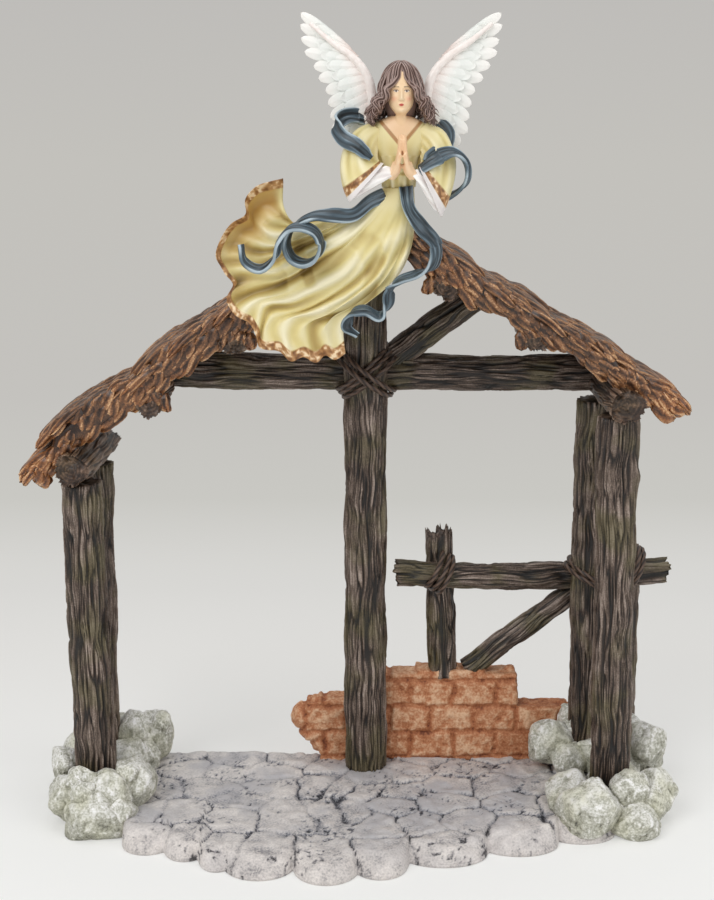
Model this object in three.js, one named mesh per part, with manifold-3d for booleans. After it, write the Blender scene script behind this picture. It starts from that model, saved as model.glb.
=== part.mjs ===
// A nativity creche in painted cast resin: an open log stable on a paved base, with boulders, a ruined
// brick wall, a fence and a thatched roof, and a praying angel whose gown streams along the left slope.
// Lengths are millimetres and angles are degrees. +Z is up and +Y is the back of the stable. The origin is
// on the surface that it stands on, under the middle of the paving.
import * as THREE from "three";
import { mergeVertices } from "three/addons/utils/BufferGeometryUtils.js";
import Module from "manifold-3d";

const wasm = await Module();
wasm.setup();

// How pieces seat
const seatGap = 0.35;
const pegClearance = 0.35;
const pegRadius = 3.5;
const pegLength = 8;

// The smallest step in a surface that is kept where pieces are cut, and on boulders and paving
const slightest = 0.3;
const slightestStone = 2;

// Posts, plates and the tie beam
const postRadius = 13.2;
const centerPostRadius = 14;
const leftPostX = -184;
const rightPostX = 172;
const frontPostY = -5;
const backPostY = 46;
const plateRadius = 10.5;
const plateOverhang = 17;
const plateSaddle = 6;
const beamRadius = 12;
const beamBelowRidge = 101;
const beamSetback = 10;
const beamLeftX = -130;

// Paved base. Its front stones are drawn for a half length of 194 and keep their share of it.
const floorHeight = 14;
const paveRelief = 3;
const paveGroove = 2.2;
const paveLength = 44;
const paveWidth = 31;
const pavingMargin = 10;
const pavingHalfLength = pavingMargin - leftPostX;
const pavingBackY = 72;
const pavingFrontY = -66;
const pavingScale = pavingHalfLength / 194;
const lobeHeight = 15.5;

// The largest boulder's half length. The groups of boulders are drawn for 20 and keep their share of it.
const boulderSize = 20;
const boulderScale = boulderSize / 20;

// Roof
const ridgeX = 10;
const ridgeHeight = 405;
const beamHeight = ridgeHeight - beamBelowRidge;
const leftPitch = 35.5;
const rightPitch = 30.5;
const leftEaveX = -222;
const rightEaveX = 209;
const roofFrontY = -16;
const roofBackY = 68;
const leftThatchThickness = 15;
const rightThatchThickness = 13;
const thatchCourse = 38;
const thatchStep = 3.5;
const thatchFringe = 4;
const purlinRadius = 8.5;
const purlinSeat = 3;
const leftPurlins = [-136, -80];
const rightPurlins = [57, 117];
const gableBraceRadius = 9;
const gableBraceFootX = 22;
const gableBraceHeadX = 84;

// Ruined brick wall
const wallFrontY = 57;
const wallThickness = 15;
const brickHeight = 20;
const brickLength = 31;
const brickRelief = 1.2;
const mortarWidth = 2;
const wallLeftX = -30;
const wallToPost = 22;
const wallRightX = rightPostX - wallToPost;
const topCourseLeftX = 14;
const topCourseRightX = 114;

// Fence
const fencePostX = 59;
const fencePostRadius = 9.5;
const fencePostTop = 186;
const endPostBeyond = 20;
const endPostX = rightPostX + endPostBeyond;
const endPostRadius = 11;
const endPostTop = 172;
const railRadius = 9;
const railHeight = 157;
const railLeftX = 30;
const railOverhang = 28;
const railRightX = endPostX + railOverhang;
const fenceBraceRadius = 8;

// Rope lashings
const ropeRadius = 1.8;
const ropePitch = 4.2;

// Angel. Her shape is drawn for 77 from the waist to the crown and keeps its share of that height.
const figureHeight = 77;
const figureScale = figureHeight / 77;
const waistAboveRidge = 31;
const waistX = 26;
const waistForward = 9;
const gownLean = 6.8;
const hemThickness = 3;
const hemTrim = 0.9;
const foldDepth = 1.8;
const sashWidth = 9;
const sashThickness = 2.2;
const wingFeathers = 9;
const wingThickness = 4;

const radians = THREE.MathUtils.degToRad;
const vec = (x, y, z) => new THREE.Vector3(x, y, z);

// The smooth function that stands in for chance, so that every build is the same.
const ripple = (a, b) => Math.sin(12.9898 * a + 78.233 * b + 1.7 * Math.sin(3.1 * a - 2.3 * b));

const pitchOf = (side) => radians(side < 0 ? leftPitch : rightPitch);

// Height of the thatch's underside above the table.
function undersideAt(x) {
  return ridgeHeight - Math.abs(x - ridgeX) * Math.tan(pitchOf(x - ridgeX));
}

// Solids

function solidFromMesh(positions, triangles) {
  const make = (triVerts) =>
    new wasm.Manifold(new wasm.Mesh({ numProp: 3, vertProperties: new Float32Array(positions), triVerts }));
  const solid = make(new Uint32Array(triangles));
  if (solid.volume() > 0) return solid;
  for (let i = 0; i < triangles.length; i += 3) {
    [triangles[i + 1], triangles[i + 2]] = [triangles[i + 2], triangles[i + 1]];
  }
  return make(new Uint32Array(triangles));
}

function bareMerged(geometry) {
  const bare = geometry.clone();
  bare.deleteAttribute("normal");
  bare.deleteAttribute("uv");
  return mergeVertices(bare, 1e-3);
}

function solidFromGeometry(geometry) {
  const merged = bareMerged(geometry);
  return solidFromMesh(Array.from(merged.attributes.position.array), Array.from(merged.index.array));
}

// A closed solid through rings that hold the same number of points, with a flat fan over each end.
function loft(rings) {
  const count = rings[0].length;
  const positions = rings.flat().flatMap((p) => [p.x, p.y, p.z]);
  const triangles = [];
  for (let ring = 0; ring + 1 < rings.length; ring++) {
    for (let i = 0; i < count; i++) {
      const a = ring * count + i;
      const b = ring * count + ((i + 1) % count);
      triangles.push(a, b, b + count, a, b + count, a + count);
    }
  }
  const cap = (ring, flip) => {
    const middle = rings[ring].reduce((sum, p) => sum.add(p), vec(0, 0, 0)).divideScalar(count);
    const hub = positions.length / 3;
    positions.push(middle.x, middle.y, middle.z);
    for (let i = 0; i < count; i++) {
      const a = ring * count + i;
      const b = ring * count + ((i + 1) % count);
      triangles.push(...(flip ? [hub, b, a] : [hub, a, b]));
    }
  };
  cap(0, true);
  cap(rings.length - 1, false);
  return solidFromMesh(positions, triangles);
}

// The solid with every face moved out by about the gap, for cutting a seat in a neighbour.
function grown(solid, gap) {
  const mesh = solid.getMesh();
  const stride = mesh.numProp;
  const points = [];
  for (let i = 0; i < mesh.numVert; i++) {
    points.push(new THREE.Vector3().fromArray(mesh.vertProperties, i * stride));
  }
  const faces = points.map(() => []);
  for (let i = 0; i < mesh.triVerts.length; i += 3) {
    const [a, b, c] = mesh.triVerts.subarray(i, i + 3);
    const normal = points[b].clone().sub(points[a]).cross(points[c].clone().sub(points[a]));
    if (normal.length() < 1e-9) continue;
    for (const corner of [a, b, c]) faces[corner].push(normal.clone());
  }
  const moved = points.flatMap((point, i) => {
    const normal = faces[i].reduce((sum, n) => sum.add(n), vec(0, 0, 0)).normalize();
    const least = Math.min(1, ...faces[i].map((n) => n.clone().normalize().dot(normal)));
    const p = point.clone().addScaledVector(normal, gap / Math.max(0.8, least));
    return [p.x, p.y, p.z];
  });
  return solidFromMesh(moved, Array.from(mesh.triVerts)).add(solid);
}

function largestBody(solid) {
  return solid.decompose().reduce((best, body) => (body.volume() > best.volume() ? body : best));
}

// Whether an edge of the solid has other than two faces, as where it touches itself.
function pinched(solid) {
  const { vertProperties, numProp, triVerts } = solid.getMesh();
  const place = (corner) => {
    const start = corner * numProp;
    return Array.from(vertProperties.subarray(start, start + 3), (length) => length.toFixed(4)).join();
  };
  const faces = new Map();
  for (let i = 0; i < triVerts.length; i += 3) {
    const corners = Array.from(triVerts.subarray(i, i + 3), place);
    if (new Set(corners).size < 3) continue;
    for (const [from, to] of [[0, 1], [1, 2], [2, 0]]) {
      const edge = [corners[from], corners[to]].sort().join(" ");
      faces.set(edge, (faces.get(edge) ?? 0) + 1);
    }
  }
  return [...faces.values()].some((count) => count !== 2);
}

// Cuts a seat in the solid for each neighbour that it meets. Small steps are taken out as far as the
// piece stays clear of its neighbours.
function seatOn(solid, ...neighbours) {
  const cut = neighbours.reduce((rest, other) => rest.subtract(grown(other, seatGap)), solid);
  const tidied = (share) => largestBody(cut.simplify(share * slightest));
  const sound = (piece) =>
    !pinched(piece) && neighbours.every((other) => piece.intersect(other).volume() < 0.001);
  for (const share of [1, 0.6, 0.3]) {
    const piece = tidied(share);
    if (sound(piece)) return piece;
  }
  return tidied(0.1);
}

function join(...solids) {
  return solids.reduce((all, solid) => all.add(solid));
}

function cylinderBetween(from, to, radius, sides = 10) {
  const axis = to.clone().sub(from);
  const geometry = new THREE.CylinderGeometry(radius, radius, axis.length(), sides);
  geometry.applyQuaternion(new THREE.Quaternion().setFromUnitVectors(vec(0, 1, 0), axis.normalize()));
  const middle = from.clone().add(to).multiplyScalar(0.5);
  return solidFromGeometry(geometry.translate(middle.x, middle.y, middle.z));
}

// A moulded peg that stands out of the child at a point and fits a blind socket in the parent.
function pegJoint(child, parent, at, direction, radius = pegRadius, length = pegLength) {
  const along = direction.clone().normalize();
  const root = at.clone().addScaledVector(along, -radius);
  const tip = at.clone().addScaledVector(along, length);
  const end = at.clone().addScaledVector(along, length + pegClearance);
  return [
    child.add(cylinderBetween(root, tip, radius)),
    parent.subtract(cylinderBetween(root, end, radius + pegClearance)),
  ];
}

// Logs

// Two directions across an axis.
function across(axis) {
  const flat = vec(0, 1, 0).cross(axis);
  const side = flat.length() > 0.5 ? flat.normalize() : vec(1, 0, 0).cross(axis).normalize();
  return [side, axis.clone().cross(side)];
}

// A log with fluted bark. Its ends are sawn square, or ragged where a break length is given.
function barkLog({ from, to, radius, ...options }) {
  const { endRadius = radius, steps = 5, seed = 0, bow = vec(0, 0, 0) } = options;
  const { raggedStart = 0, raggedEnd = 0 } = options;
  const sides = 14;
  const groove = 0.1;
  const axis = to.clone().sub(from).normalize();
  const [side, up] = across(axis);
  const rings = [];
  for (let step = 0; step <= steps; step++) {
    const s = step / steps;
    const middle = from.clone().lerp(to, s).addScaledVector(bow, Math.sin(Math.PI * s));
    const broken = step === 0 ? -raggedStart : step === steps ? raggedEnd : 0;
    const ring = [];
    for (let i = 0; i < sides; i++) {
      const turn = (2 * Math.PI * i) / sides;
      const swell = 0.05 * Math.sin(2 * turn + 5 * s + seed) + 0.04 * Math.sin(3 * turn - 7 * s + 2 * seed);
      const bark = i % 2 ? groove * (1 + 0.5 * ripple(i + seed, step)) : 0;
      const r = THREE.MathUtils.lerp(radius, endRadius, s) * (1 + swell - bark);
      const splinter = broken * (0.5 + 0.5 * ripple(seed + 3 * i, 1));
      const point = middle.clone().addScaledVector(axis, splinter);
      ring.push(point.addScaledVector(side, r * Math.cos(turn)).addScaledVector(up, r * Math.sin(turn)));
    }
    rings.push(ring);
  }
  return loft(rings);
}

// A rope wound round a lashed joint: one tube that climbs a pitch for each turn.
function winding({ middle, wide, deep, turns }) {
  const stepsPerTurn = 12;
  const sides = 5;
  const climb = wide.clone().cross(deep).normalize();
  const centre = (k) => {
    const turn = (2 * Math.PI * k) / stepsPerTurn + Math.PI / 2;
    const rise = ropePitch * (k / stepsPerTurn - turns / 2);
    const place = middle.clone().addScaledVector(wide, Math.cos(turn));
    return place.addScaledVector(deep, Math.sin(turn)).addScaledVector(climb, rise);
  };
  const rings = [];
  const line = Array.from({ length: 2 * turns * stepsPerTurn + 1 }, (_, k) => centre(k / 2));
  const nearTurn = (a, b) => (Math.abs(a - b) > stepsPerTurn ? line[a].distanceTo(line[b]) : Infinity);
  const least = Math.min(...line.flatMap((_, a) => line.map((_, b) => nearTurn(a, b)))) - 2 * ropeRadius;
  console.log(`winding of ${turns} turns: least gap ${least.toFixed(2)} mm`);
  for (let k = 0; k <= turns * stepsPerTurn; k++) {
    const here = centre(k);
    const ahead = centre(k + 0.5).sub(centre(k - 0.5)).normalize();
    const out = here.clone().sub(middle).normalize();
    const side = ahead.clone().cross(out).normalize();
    const off = side.clone().cross(ahead);
    const around = Array.from({ length: sides }, (_, i) => (2 * Math.PI * i) / sides);
    const point = (turn) => {
      const place = here.clone().addScaledVector(side, ropeRadius * Math.cos(turn));
      return place.addScaledVector(off, ropeRadius * Math.sin(turn));
    };
    rings.push(around.map(point));
  }
  return loft(rings);
}

// Paved base

// Front stones that bulge past the paving: drawn middle X and Y, half length and half width.
const frontLobes = [
  [-141, -50, 19, 17],
  [-114, -57, 17, 20],
  [-92, -68, 16, 22],
  [-64, -77, 25, 24],
  [-20, -82, 24, 25],
  [15, -77, 20, 23],
  [57, -62, 31, 21],
  [108, -47, 31, 20],
  [150, -34, 22, 18],
].map((numbers) => {
  const [x, y, halfLength, halfWidth] = numbers.map((number) => number * pavingScale);
  return { x, y, halfLength, halfWidth };
});

// How far forward the paving reaches at a place along its length.
function pavingFront(x) {
  const reach = frontLobes.map((lobe) => {
    const offset = (x - lobe.x) / lobe.halfLength;
    return Math.abs(offset) < 1 ? lobe.y - 0.6 * lobe.halfWidth * Math.sqrt(1 - offset * offset) : 0;
  });
  return Math.max(pavingFrontY, Math.min(-20, ...reach));
}

function pavingOutline() {
  const steps = 28;
  const front = Array.from({ length: steps + 1 }, (_, i) => {
    const x = THREE.MathUtils.lerp(-pavingHalfLength, pavingHalfLength, i / steps);
    return new THREE.Vector2(x, pavingFront(x));
  });
  const back = [
    new THREE.Vector2(pavingHalfLength + 12, 12),
    new THREE.Vector2(pavingHalfLength + 10, pavingBackY - 12),
    new THREE.Vector2(pavingHalfLength - 8, pavingBackY + 3),
    new THREE.Vector2(40, pavingBackY + 1),
    new THREE.Vector2(-80, pavingBackY),
    new THREE.Vector2(-pavingHalfLength + 8, pavingBackY - 1),
    new THREE.Vector2(-pavingHalfLength - 9, pavingBackY - 14),
    new THREE.Vector2(-pavingHalfLength - 10, 8),
  ];
  return [...front, ...back];
}

// A flat-topped slab over an outline.
function slab(points, height) {
  const ring = (z) => points.map((p) => vec(p.x, p.y, z));
  return loft([ring(0), ring(height)]);
}

// Middles of the flagstones: staggered rows whose stones are shifted a little, as hand-laid stones are.
function flagstoneMiddles() {
  const middles = [];
  let row = 0;
  for (let y = pavingBackY - paveWidth / 2; y > pavingFrontY; y -= paveWidth) {
    const stagger = row % 2 ? paveLength / 2 : 0;
    for (let x = -pavingHalfLength + stagger; x < pavingHalfLength; x += paveLength) {
      const shift = new THREE.Vector2(ripple(x / 40, y / 30), ripple(y / 30 + 4, x / 40));
      middles.push(new THREE.Vector2(x, y).addScaledVector(shift, 0.24 * paveWidth));
    }
    row++;
  }
  return middles;
}

// The part of a polygon on one side of a line, given by a point on it and its outward direction.
function clipPolygon(points, at, out) {
  const kept = [];
  const side = (p) => (p.x - at.x) * out.x + (p.y - at.y) * out.y;
  points.forEach((p, i) => {
    const q = points[(i + 1) % points.length];
    const a = side(p);
    const b = side(q);
    if (a <= 0) kept.push(p);
    if (a * b < 0) kept.push(p.clone().lerp(q, a / (a - b)));
  });
  return kept;
}

// A flagstone takes the ground that is nearer to its middle than to any other, less half a groove.
function flagstone(middle, middles) {
  const reach = paveLength;
  let points = Array.from({ length: 10 }, (_, i) => {
    const turn = (2 * Math.PI * i) / 10;
    return new THREE.Vector2(middle.x + reach * Math.cos(turn), middle.y + 0.75 * reach * Math.sin(turn));
  });
  for (const other of middles) {
    const toOther = other.clone().sub(middle);
    const distance = toOther.length();
    if (distance === 0 || distance > 3 * reach) continue;
    const out = toOther.divideScalar(distance);
    points = clipPolygon(points, middle.clone().addScaledVector(out, (distance - paveGroove) / 2), out);
  }
  return points;
}

function lobe({ x, y, halfLength, halfWidth }) {
  const geometry = new THREE.SphereGeometry(1, 9, 4);
  geometry.scale(halfLength, halfWidth, lobeHeight * 0.75);
  return solidFromGeometry(geometry.translate(x, y, lobeHeight * 0.25));
}

const belowTable = solidFromGeometry(new THREE.BoxGeometry(700, 700, 100).translate(0, 0, -50));

// The plain block that the paving and its front stones fill.
function pavingBlock() {
  return join(slab(pavingOutline(), floorHeight), ...frontLobes.map(lobe)).subtract(belowTable);
}

function pavedBase() {
  const outline = pavingOutline();
  const bed = slab(outline, floorHeight - paveRelief);
  const middles = flagstoneMiddles();
  const tops = middles
    .map((middle) => flagstone(middle, middles))
    .filter((points) => points.length > 2)
    .map((points) => slab(points, floorHeight));
  const plan = slab(outline, floorHeight + 1);
  const stones = join(...tops).intersect(plan);
  const laid = join(bed, stones, ...frontLobes.map(lobe)).subtract(belowTable);
  return largestBody(laid.simplify(slightestStone));
}

// Boulders

function boulder([x, y, z, rx, ry, rz], index) {
  const merged = bareMerged(new THREE.SphereGeometry(1, 8, 5));
  merged.rotateX(radians(65)).rotateZ(index);
  const place = merged.attributes.position;
  for (let i = 0; i < place.count; i++) {
    const p = new THREE.Vector3().fromBufferAttribute(place, i);
    const size = 1.02 + 0.09 * ripple(p.x + index, p.y + 2 * p.z + 0.7 * index);
    place.setXYZ(i, x + p.x * rx * size, y + p.y * ry * size, z + p.z * rz * size);
  }
  return solidFromGeometry(merged);
}

function boulders(list) {
  return join(...list.map(boulder)).subtract(belowTable).simplify(slightestStone);
}

// Each boulder is its drawn middle, measured from the post that it stands round, and three half sizes.
const besidePost = (x, y, list) =>
  list.map((numbers) => {
    const [dx, dy, ...rest] = numbers.map((number) => number * boulderScale);
    return [x + dx, y + dy, ...rest];
  });
const leftFrontRocks = besidePost(leftPostX, frontPostY, [
  [5, -28, 12, 20, 17, 19],
  [13, -20, 27, 17, 13, 15],
  [-14, -14, 19, 14, 15, 17],
  [30, -6, 26, 15, 15, 15],
  [-20, 8, 33, 10, 12, 13],
  [22, 14, 20, 16, 18, 14],
]);
const leftBackRocks = besidePost(leftPostX, backPostY, [
  [22, 4, 36, 13, 14, 16],
  [38, 8, 34, 13, 12, 18],
  [-14, 0, 22, 15, 20, 20],
  [6, 18, 24, 22, 13, 20],
  [16, -14, 22, 18, 13, 17],
]);
const rightFrontRocks = besidePost(rightPostX, frontPostY, [
  [-14, -34, 19, 20, 17, 20],
  [18, -32, 9, 16, 14, 13],
  [14, -19, 27, 13, 12, 13],
  [34, -6, 17, 13, 16, 19],
  [-24, -6, 17, 18, 20, 14],
  [8, 10, 20, 20, 16, 17],
]);
const rightBackRocks = besidePost(rightPostX, backPostY, [
  [-32, -7, 33, 17, 13, 17],
  [-19, -25, 23, 16, 15, 15],
  [34, -20, 38, 14, 14, 17],
  [-12, 6, 40, 13, 14, 17],
  [20, 16, 26, 24, 16, 20],
  [40, 2, 22, 12, 18, 18],
  [8, -16, 26, 22, 13, 17],
]);

// Ruined brick wall

function wallOutline() {
  const low = floorHeight + seatGap;
  const course = (n) => low + n * brickHeight;
  const outline = new THREE.Shape();
  outline.moveTo(wallLeftX + 2, low);
  outline.lineTo(wallRightX, low);
  outline.lineTo(wallRightX, course(2) - 3);
  outline.lineTo(topCourseRightX + 8, course(2) - 1);
  outline.lineTo(topCourseRightX, course(2));
  outline.lineTo(topCourseRightX - 1, course(3) - 4);
  outline.lineTo(topCourseRightX + 1, course(3) + 3);
  outline.lineTo(topCourseRightX - 12, course(3) + 1);
  outline.lineTo(fencePostX + 30, course(3) + 1);
  outline.lineTo(fencePostX + 22, course(3) + 4);
  outline.lineTo(fencePostX - 10, course(3) + 5);
  outline.lineTo(fencePostX - 16, course(3));
  outline.lineTo(topCourseLeftX, course(3) - 2);
  outline.lineTo(topCourseLeftX - 2, course(2) + 3);
  outline.quadraticCurveTo(wallLeftX - 2, course(2) + 4, wallLeftX - 10, course(2) - 3);
  outline.quadraticCurveTo(wallLeftX - 18, course(1) + 8, wallLeftX - 11, course(1) - 7);
  outline.quadraticCurveTo(wallLeftX - 6, course(1) - 9, wallLeftX - 4, course(1) - 3);
  outline.quadraticCurveTo(wallLeftX + 4, course(1) - 6, wallLeftX + 3, course(0) + 4);
  outline.closePath();
  return outline;
}

// Bricks stand out of both faces of the wall, with each course shifted by half a brick.
function brickFaces() {
  const bricks = [];
  const spans = [
    [wallLeftX + 8, wallRightX],
    [wallLeftX + 2, wallRightX],
    [topCourseLeftX, topCourseRightX],
  ];
  spans.forEach(([left, right], course) => {
    const low = floorHeight + seatGap + course * brickHeight;
    for (let x = left - (course % 2 ? brickLength / 2 : 0); x < right; x += brickLength) {
      const from = Math.max(left, x) + mortarWidth / 2;
      const to = Math.min(right, x + brickLength) - mortarWidth / 2;
      if (to - from < 3 * mortarWidth) continue;
      const depth = wallThickness + 2 * brickRelief;
      const brick = new THREE.BoxGeometry(to - from, depth, brickHeight - mortarWidth);
      brick.translate((from + to) / 2, wallFrontY + wallThickness / 2, low + brickHeight / 2);
      bricks.push(solidFromGeometry(brick));
    }
  });
  return bricks;
}

function brickWall() {
  const settings = { depth: wallThickness, bevelEnabled: false, curveSegments: 3 };
  const core = new THREE.ExtrudeGeometry(wallOutline(), settings);
  core.rotateX(Math.PI / 2).translate(0, wallFrontY + wallThickness, 0);
  return largestBody(join(solidFromGeometry(core), ...brickFaces()));
}

// Roof

// One slope of thatch: courses of straw that thicken to their lower end, then step back.
function thatch(side) {
  const pitch = pitchOf(side);
  const thickness = side < 0 ? leftThatchThickness : rightThatchThickness;
  const length = Math.abs((side < 0 ? leftEaveX : rightEaveX) - ridgeX) / Math.cos(pitch);
  const down = vec(side * Math.cos(pitch), 0, -Math.sin(pitch));
  const out = vec(side * Math.sin(pitch), 0, Math.cos(pitch));
  const ridge = vec(ridgeX + side * seatGap * 0.5, 0, ridgeHeight);
  const topPoints = 10;
  const courses = Math.round(length / thatchCourse);
  const stations = [0];
  for (let course = 1; course <= courses; course++) {
    const end = (length * course) / courses;
    stations.push(end - (0.5 * length) / courses, end - (course === courses ? 10 : 1.5));
    if (course < courses) stations.push(end);
  }
  stations.push(length);
  const rings = stations.map((along, station) => {
    const tip = station === stations.length - 1;
    const share = ((along / length) * courses) % 1;
    const swell = thatchStep * (tip ? -0.5 : share);
    const ring = [];
    const place = (y, h, sway) => {
      const start = station === 0 ? -h * Math.tan(pitch) : along + sway;
      ring.push(ridge.clone().addScaledVector(down, start).addScaledVector(out, h).setY(y));
    };
    for (let i = 0; i < topPoints; i++) {
      const f = i / (topPoints - 1);
      const mound = Math.pow(Math.sin(Math.PI * (0.12 + 0.76 * f)), 0.6);
      const straw = (i % 2 ? 1.1 : -1.1) + 1.2 * ripple(i, station);
      const height = (tip ? 0.62 : 1) * (thickness * mound + swell) + straw;
      const sway = (tip ? 1.6 : 0.8) * ripple(i * 2, station + 5);
      place(THREE.MathUtils.lerp(roofFrontY, roofBackY, f), height, sway);
    }
    place(roofBackY, tip ? thickness * 0.2 : -1, 0);
    place(roofBackY - 12, tip ? thickness * 0.1 : 0, 0);
    place(roofFrontY + 12, tip ? thickness * 0.1 : 0, 0);
    const shaggy = share > 0.6 || share === 0 ? 1.2 : 0.6;
    const droop = thatchFringe * (0.7 + 0.5 * ripple(station, side)) * shaggy;
    place(roofFrontY + 2, tip || station === 0 ? 0 : -droop, 0);
    place(roofFrontY - 1.5, tip ? thickness * 0.3 : thickness * 0.25, 0);
    return ring;
  });
  return loft(rings);
}

// A log from front to back at a place, whose front end is skewed to one side.
function acrossLog(x, z, radius, frontY, backY, seed, skew = 0) {
  const from = vec(x - skew, frontY, z);
  const to = vec(x + skew, backY, z);
  return barkLog({ from, to, radius, steps: 3, seed, raggedStart: 2, raggedEnd: 2 });
}

const plateHeight = (x) => undersideAt(x) - plateRadius / Math.cos(pitchOf(x - ridgeX)) - seatGap;
const purlinHeight = (x) => undersideAt(x) - purlinRadius + purlinSeat;
const centerPostY = backPostY + 1;
const beamY = centerPostY + beamSetback;

// Angel. Drawn places are measured from the middle of the waist.

const waist = vec(waistX, roofFrontY - waistForward, ridgeHeight + waistAboveRidge);
const onAngel = (x, y, z) => vec(x, y, z).multiplyScalar(figureScale).add(waist);
const waistHalfWidth = 9.5 * figureScale;
const waistHalfDepth = 8 * figureScale;

function ellipseRing(middle, halfX, halfY, points, tilt = 0) {
  return Array.from({ length: points }, (_, i) => {
    const turn = (2 * Math.PI * i) / points;
    const wide = halfX * Math.cos(turn);
    const offset = vec(wide * Math.cos(tilt), halfY * Math.sin(turn), wide * Math.sin(tilt));
    return middle.clone().addScaledVector(offset, figureScale);
  });
}

function curveThrough(points, end = "centripetal") {
  const places = points.map(([x, z]) => vec(x, 0, z).multiplyScalar(figureScale));
  return new THREE.CatmullRomCurve3(places, false, end);
}

// The gown's four edges in the plane of the roof's front: waist, hem, upper edge and lower edge.
const hemUpperEnd = [-72, 6];
const hemLowerEnd = [-34, -105];
const gownUpper = curveThrough([
  [-9.5, 0],
  [-21, -9],
  [-33, -15],
  [-50, -20],
  [-64, -23],
  [-72, -11],
  hemUpperEnd,
]);
const gownLower = curveThrough([
  [9.5, 0],
  [10, -18],
  [8, -37],
  [0, -55],
  [-18, -71],
  [-31, -79],
  [-35, -90],
  hemLowerEnd,
]);
const gownHem = curveThrough([
  hemUpperEnd,
  [-86, 2],
  [-95, -8],
  [-97, -18],
  [-110, -30],
  [-114, -44],
  [-105, -60],
  [-107, -73],
  [-92, -87],
  [-88, -101],
  [-68, -109],
  [-52, -110],
  hemLowerEnd,
]);

// A point of the gown's front sheet: s runs from the waist to the hem, t from the upper edge to the lower.
function gownPoint(s, t) {
  const top = gownUpper.getPointAt(s);
  const low = gownLower.getPointAt(s);
  const near = vec(THREE.MathUtils.lerp(-waistHalfWidth, waistHalfWidth, t), 0, 0);
  const far = gownHem.getPointAt(t);
  const corners = gownUpper.getPointAt(0).multiplyScalar((1 - s) * (1 - t));
  corners.addScaledVector(gownLower.getPointAt(0), (1 - s) * t);
  corners.addScaledVector(gownUpper.getPointAt(1), s * (1 - t));
  corners.addScaledVector(gownLower.getPointAt(1), s * t);
  const edges = top.multiplyScalar(1 - t).addScaledVector(low, t);
  return edges.addScaledVector(near, 1 - s).addScaledVector(far, s).sub(corners);
}

// How far the upper end of the hem curls towards the viewer.
const gownCurl = (s, t) => 11 * figureScale * s ** 3 * (1 - t) ** 1.2;

// How far the front sheet stands towards the viewer. The body is round, and the hem curls forward.
function gownRelief(s, t) {
  const round = Math.sqrt(Math.max(0, 1 - (2 * t - 1) ** 2));
  const hips = 1 + 1.1 * Math.sin(Math.PI * Math.min(1, 1.3 * s));
  const body = waistHalfDepth * round * hips * (1 - 0.85 * s);
  const curl = gownCurl(s, t);
  const folds = foldDepth * s * Math.sin(2 * Math.PI * (5.5 * t + 0.35 * s)) * (0.4 + 0.6 * round);
  return body + curl + folds + 0.65 * hemThickness + (s > 0.95 ? hemTrim : 0);
}

// How far the back sheet stands from the middle of the waist. Its middle lies along the roof's front.
function gownBack(s, t) {
  const round = Math.sqrt(Math.max(0, 1 - (2 * t - 1) ** 2));
  const edge = gownRelief(s, t) - hemThickness;
  return THREE.MathUtils.lerp(edge, Math.min(edge, gownCurl(s, t) - gownLean), round ** 0.7);
}

// A closed solid between two sheets that have the same rows of points.
function shell(front, back) {
  const rows = front.length;
  const columns = front[0].length;
  const positions = [...front, ...back].flat().flatMap((p) => [p.x, p.y, p.z]);
  const triangles = [];
  const quad = (a, b, c, d) => triangles.push(a, b, c, a, c, d);
  const at = (sheet, row, column) => (sheet * rows + row) * columns + column;
  for (let r = 0; r + 1 < rows; r++) {
    for (let c = 0; c + 1 < columns; c++) {
      quad(at(0, r, c), at(0, r, c + 1), at(0, r + 1, c + 1), at(0, r + 1, c));
      triangles.push(at(1, r, c), at(1, r + 1, c + 1), at(1, r, c + 1));
      triangles.push(at(1, r, c), at(1, r + 1, c), at(1, r + 1, c + 1));
    }
    quad(at(0, r, 0), at(0, r + 1, 0), at(1, r + 1, 0), at(1, r, 0));
    quad(at(1, r, columns - 1), at(1, r + 1, columns - 1), at(0, r + 1, columns - 1), at(0, r, columns - 1));
  }
  for (let c = 0; c + 1 < columns; c++) {
    quad(at(1, 0, c), at(1, 0, c + 1), at(0, 0, c + 1), at(0, 0, c));
    quad(at(0, rows - 1, c), at(0, rows - 1, c + 1), at(1, rows - 1, c + 1), at(1, rows - 1, c));
  }
  return solidFromMesh(positions, triangles);
}

function gown() {
  const shares = (count) => Array.from({ length: count + 1 }, (_, i) => i / count);
  const sheet = (depth) =>
    shares(13).map((s) => shares(14).map((t) => gownPoint(s, t).add(waist).setY(waist.y - depth(s, t))));
  return shell(sheet(gownRelief), sheet(gownBack));
}

// The bodice, through rings of height, half width and half depth.
function bodice() {
  const levels = [
    [0, 9.9, 8],
    [8, 10.4, 8.6],
    [20, 13.4, 10],
    [30, 17.2, 9],
    [37, 17.5, 8],
    [42, 9.6, 6.5],
  ];
  const lift = seatGap / figureScale;
  const ring = ([z, halfX, halfY]) => ellipseRing(onAngel(0.014 * z, 0, z + lift), halfX, halfY, 12);
  return loft(levels.map(ring));
}

const headHeight = 57;

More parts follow.
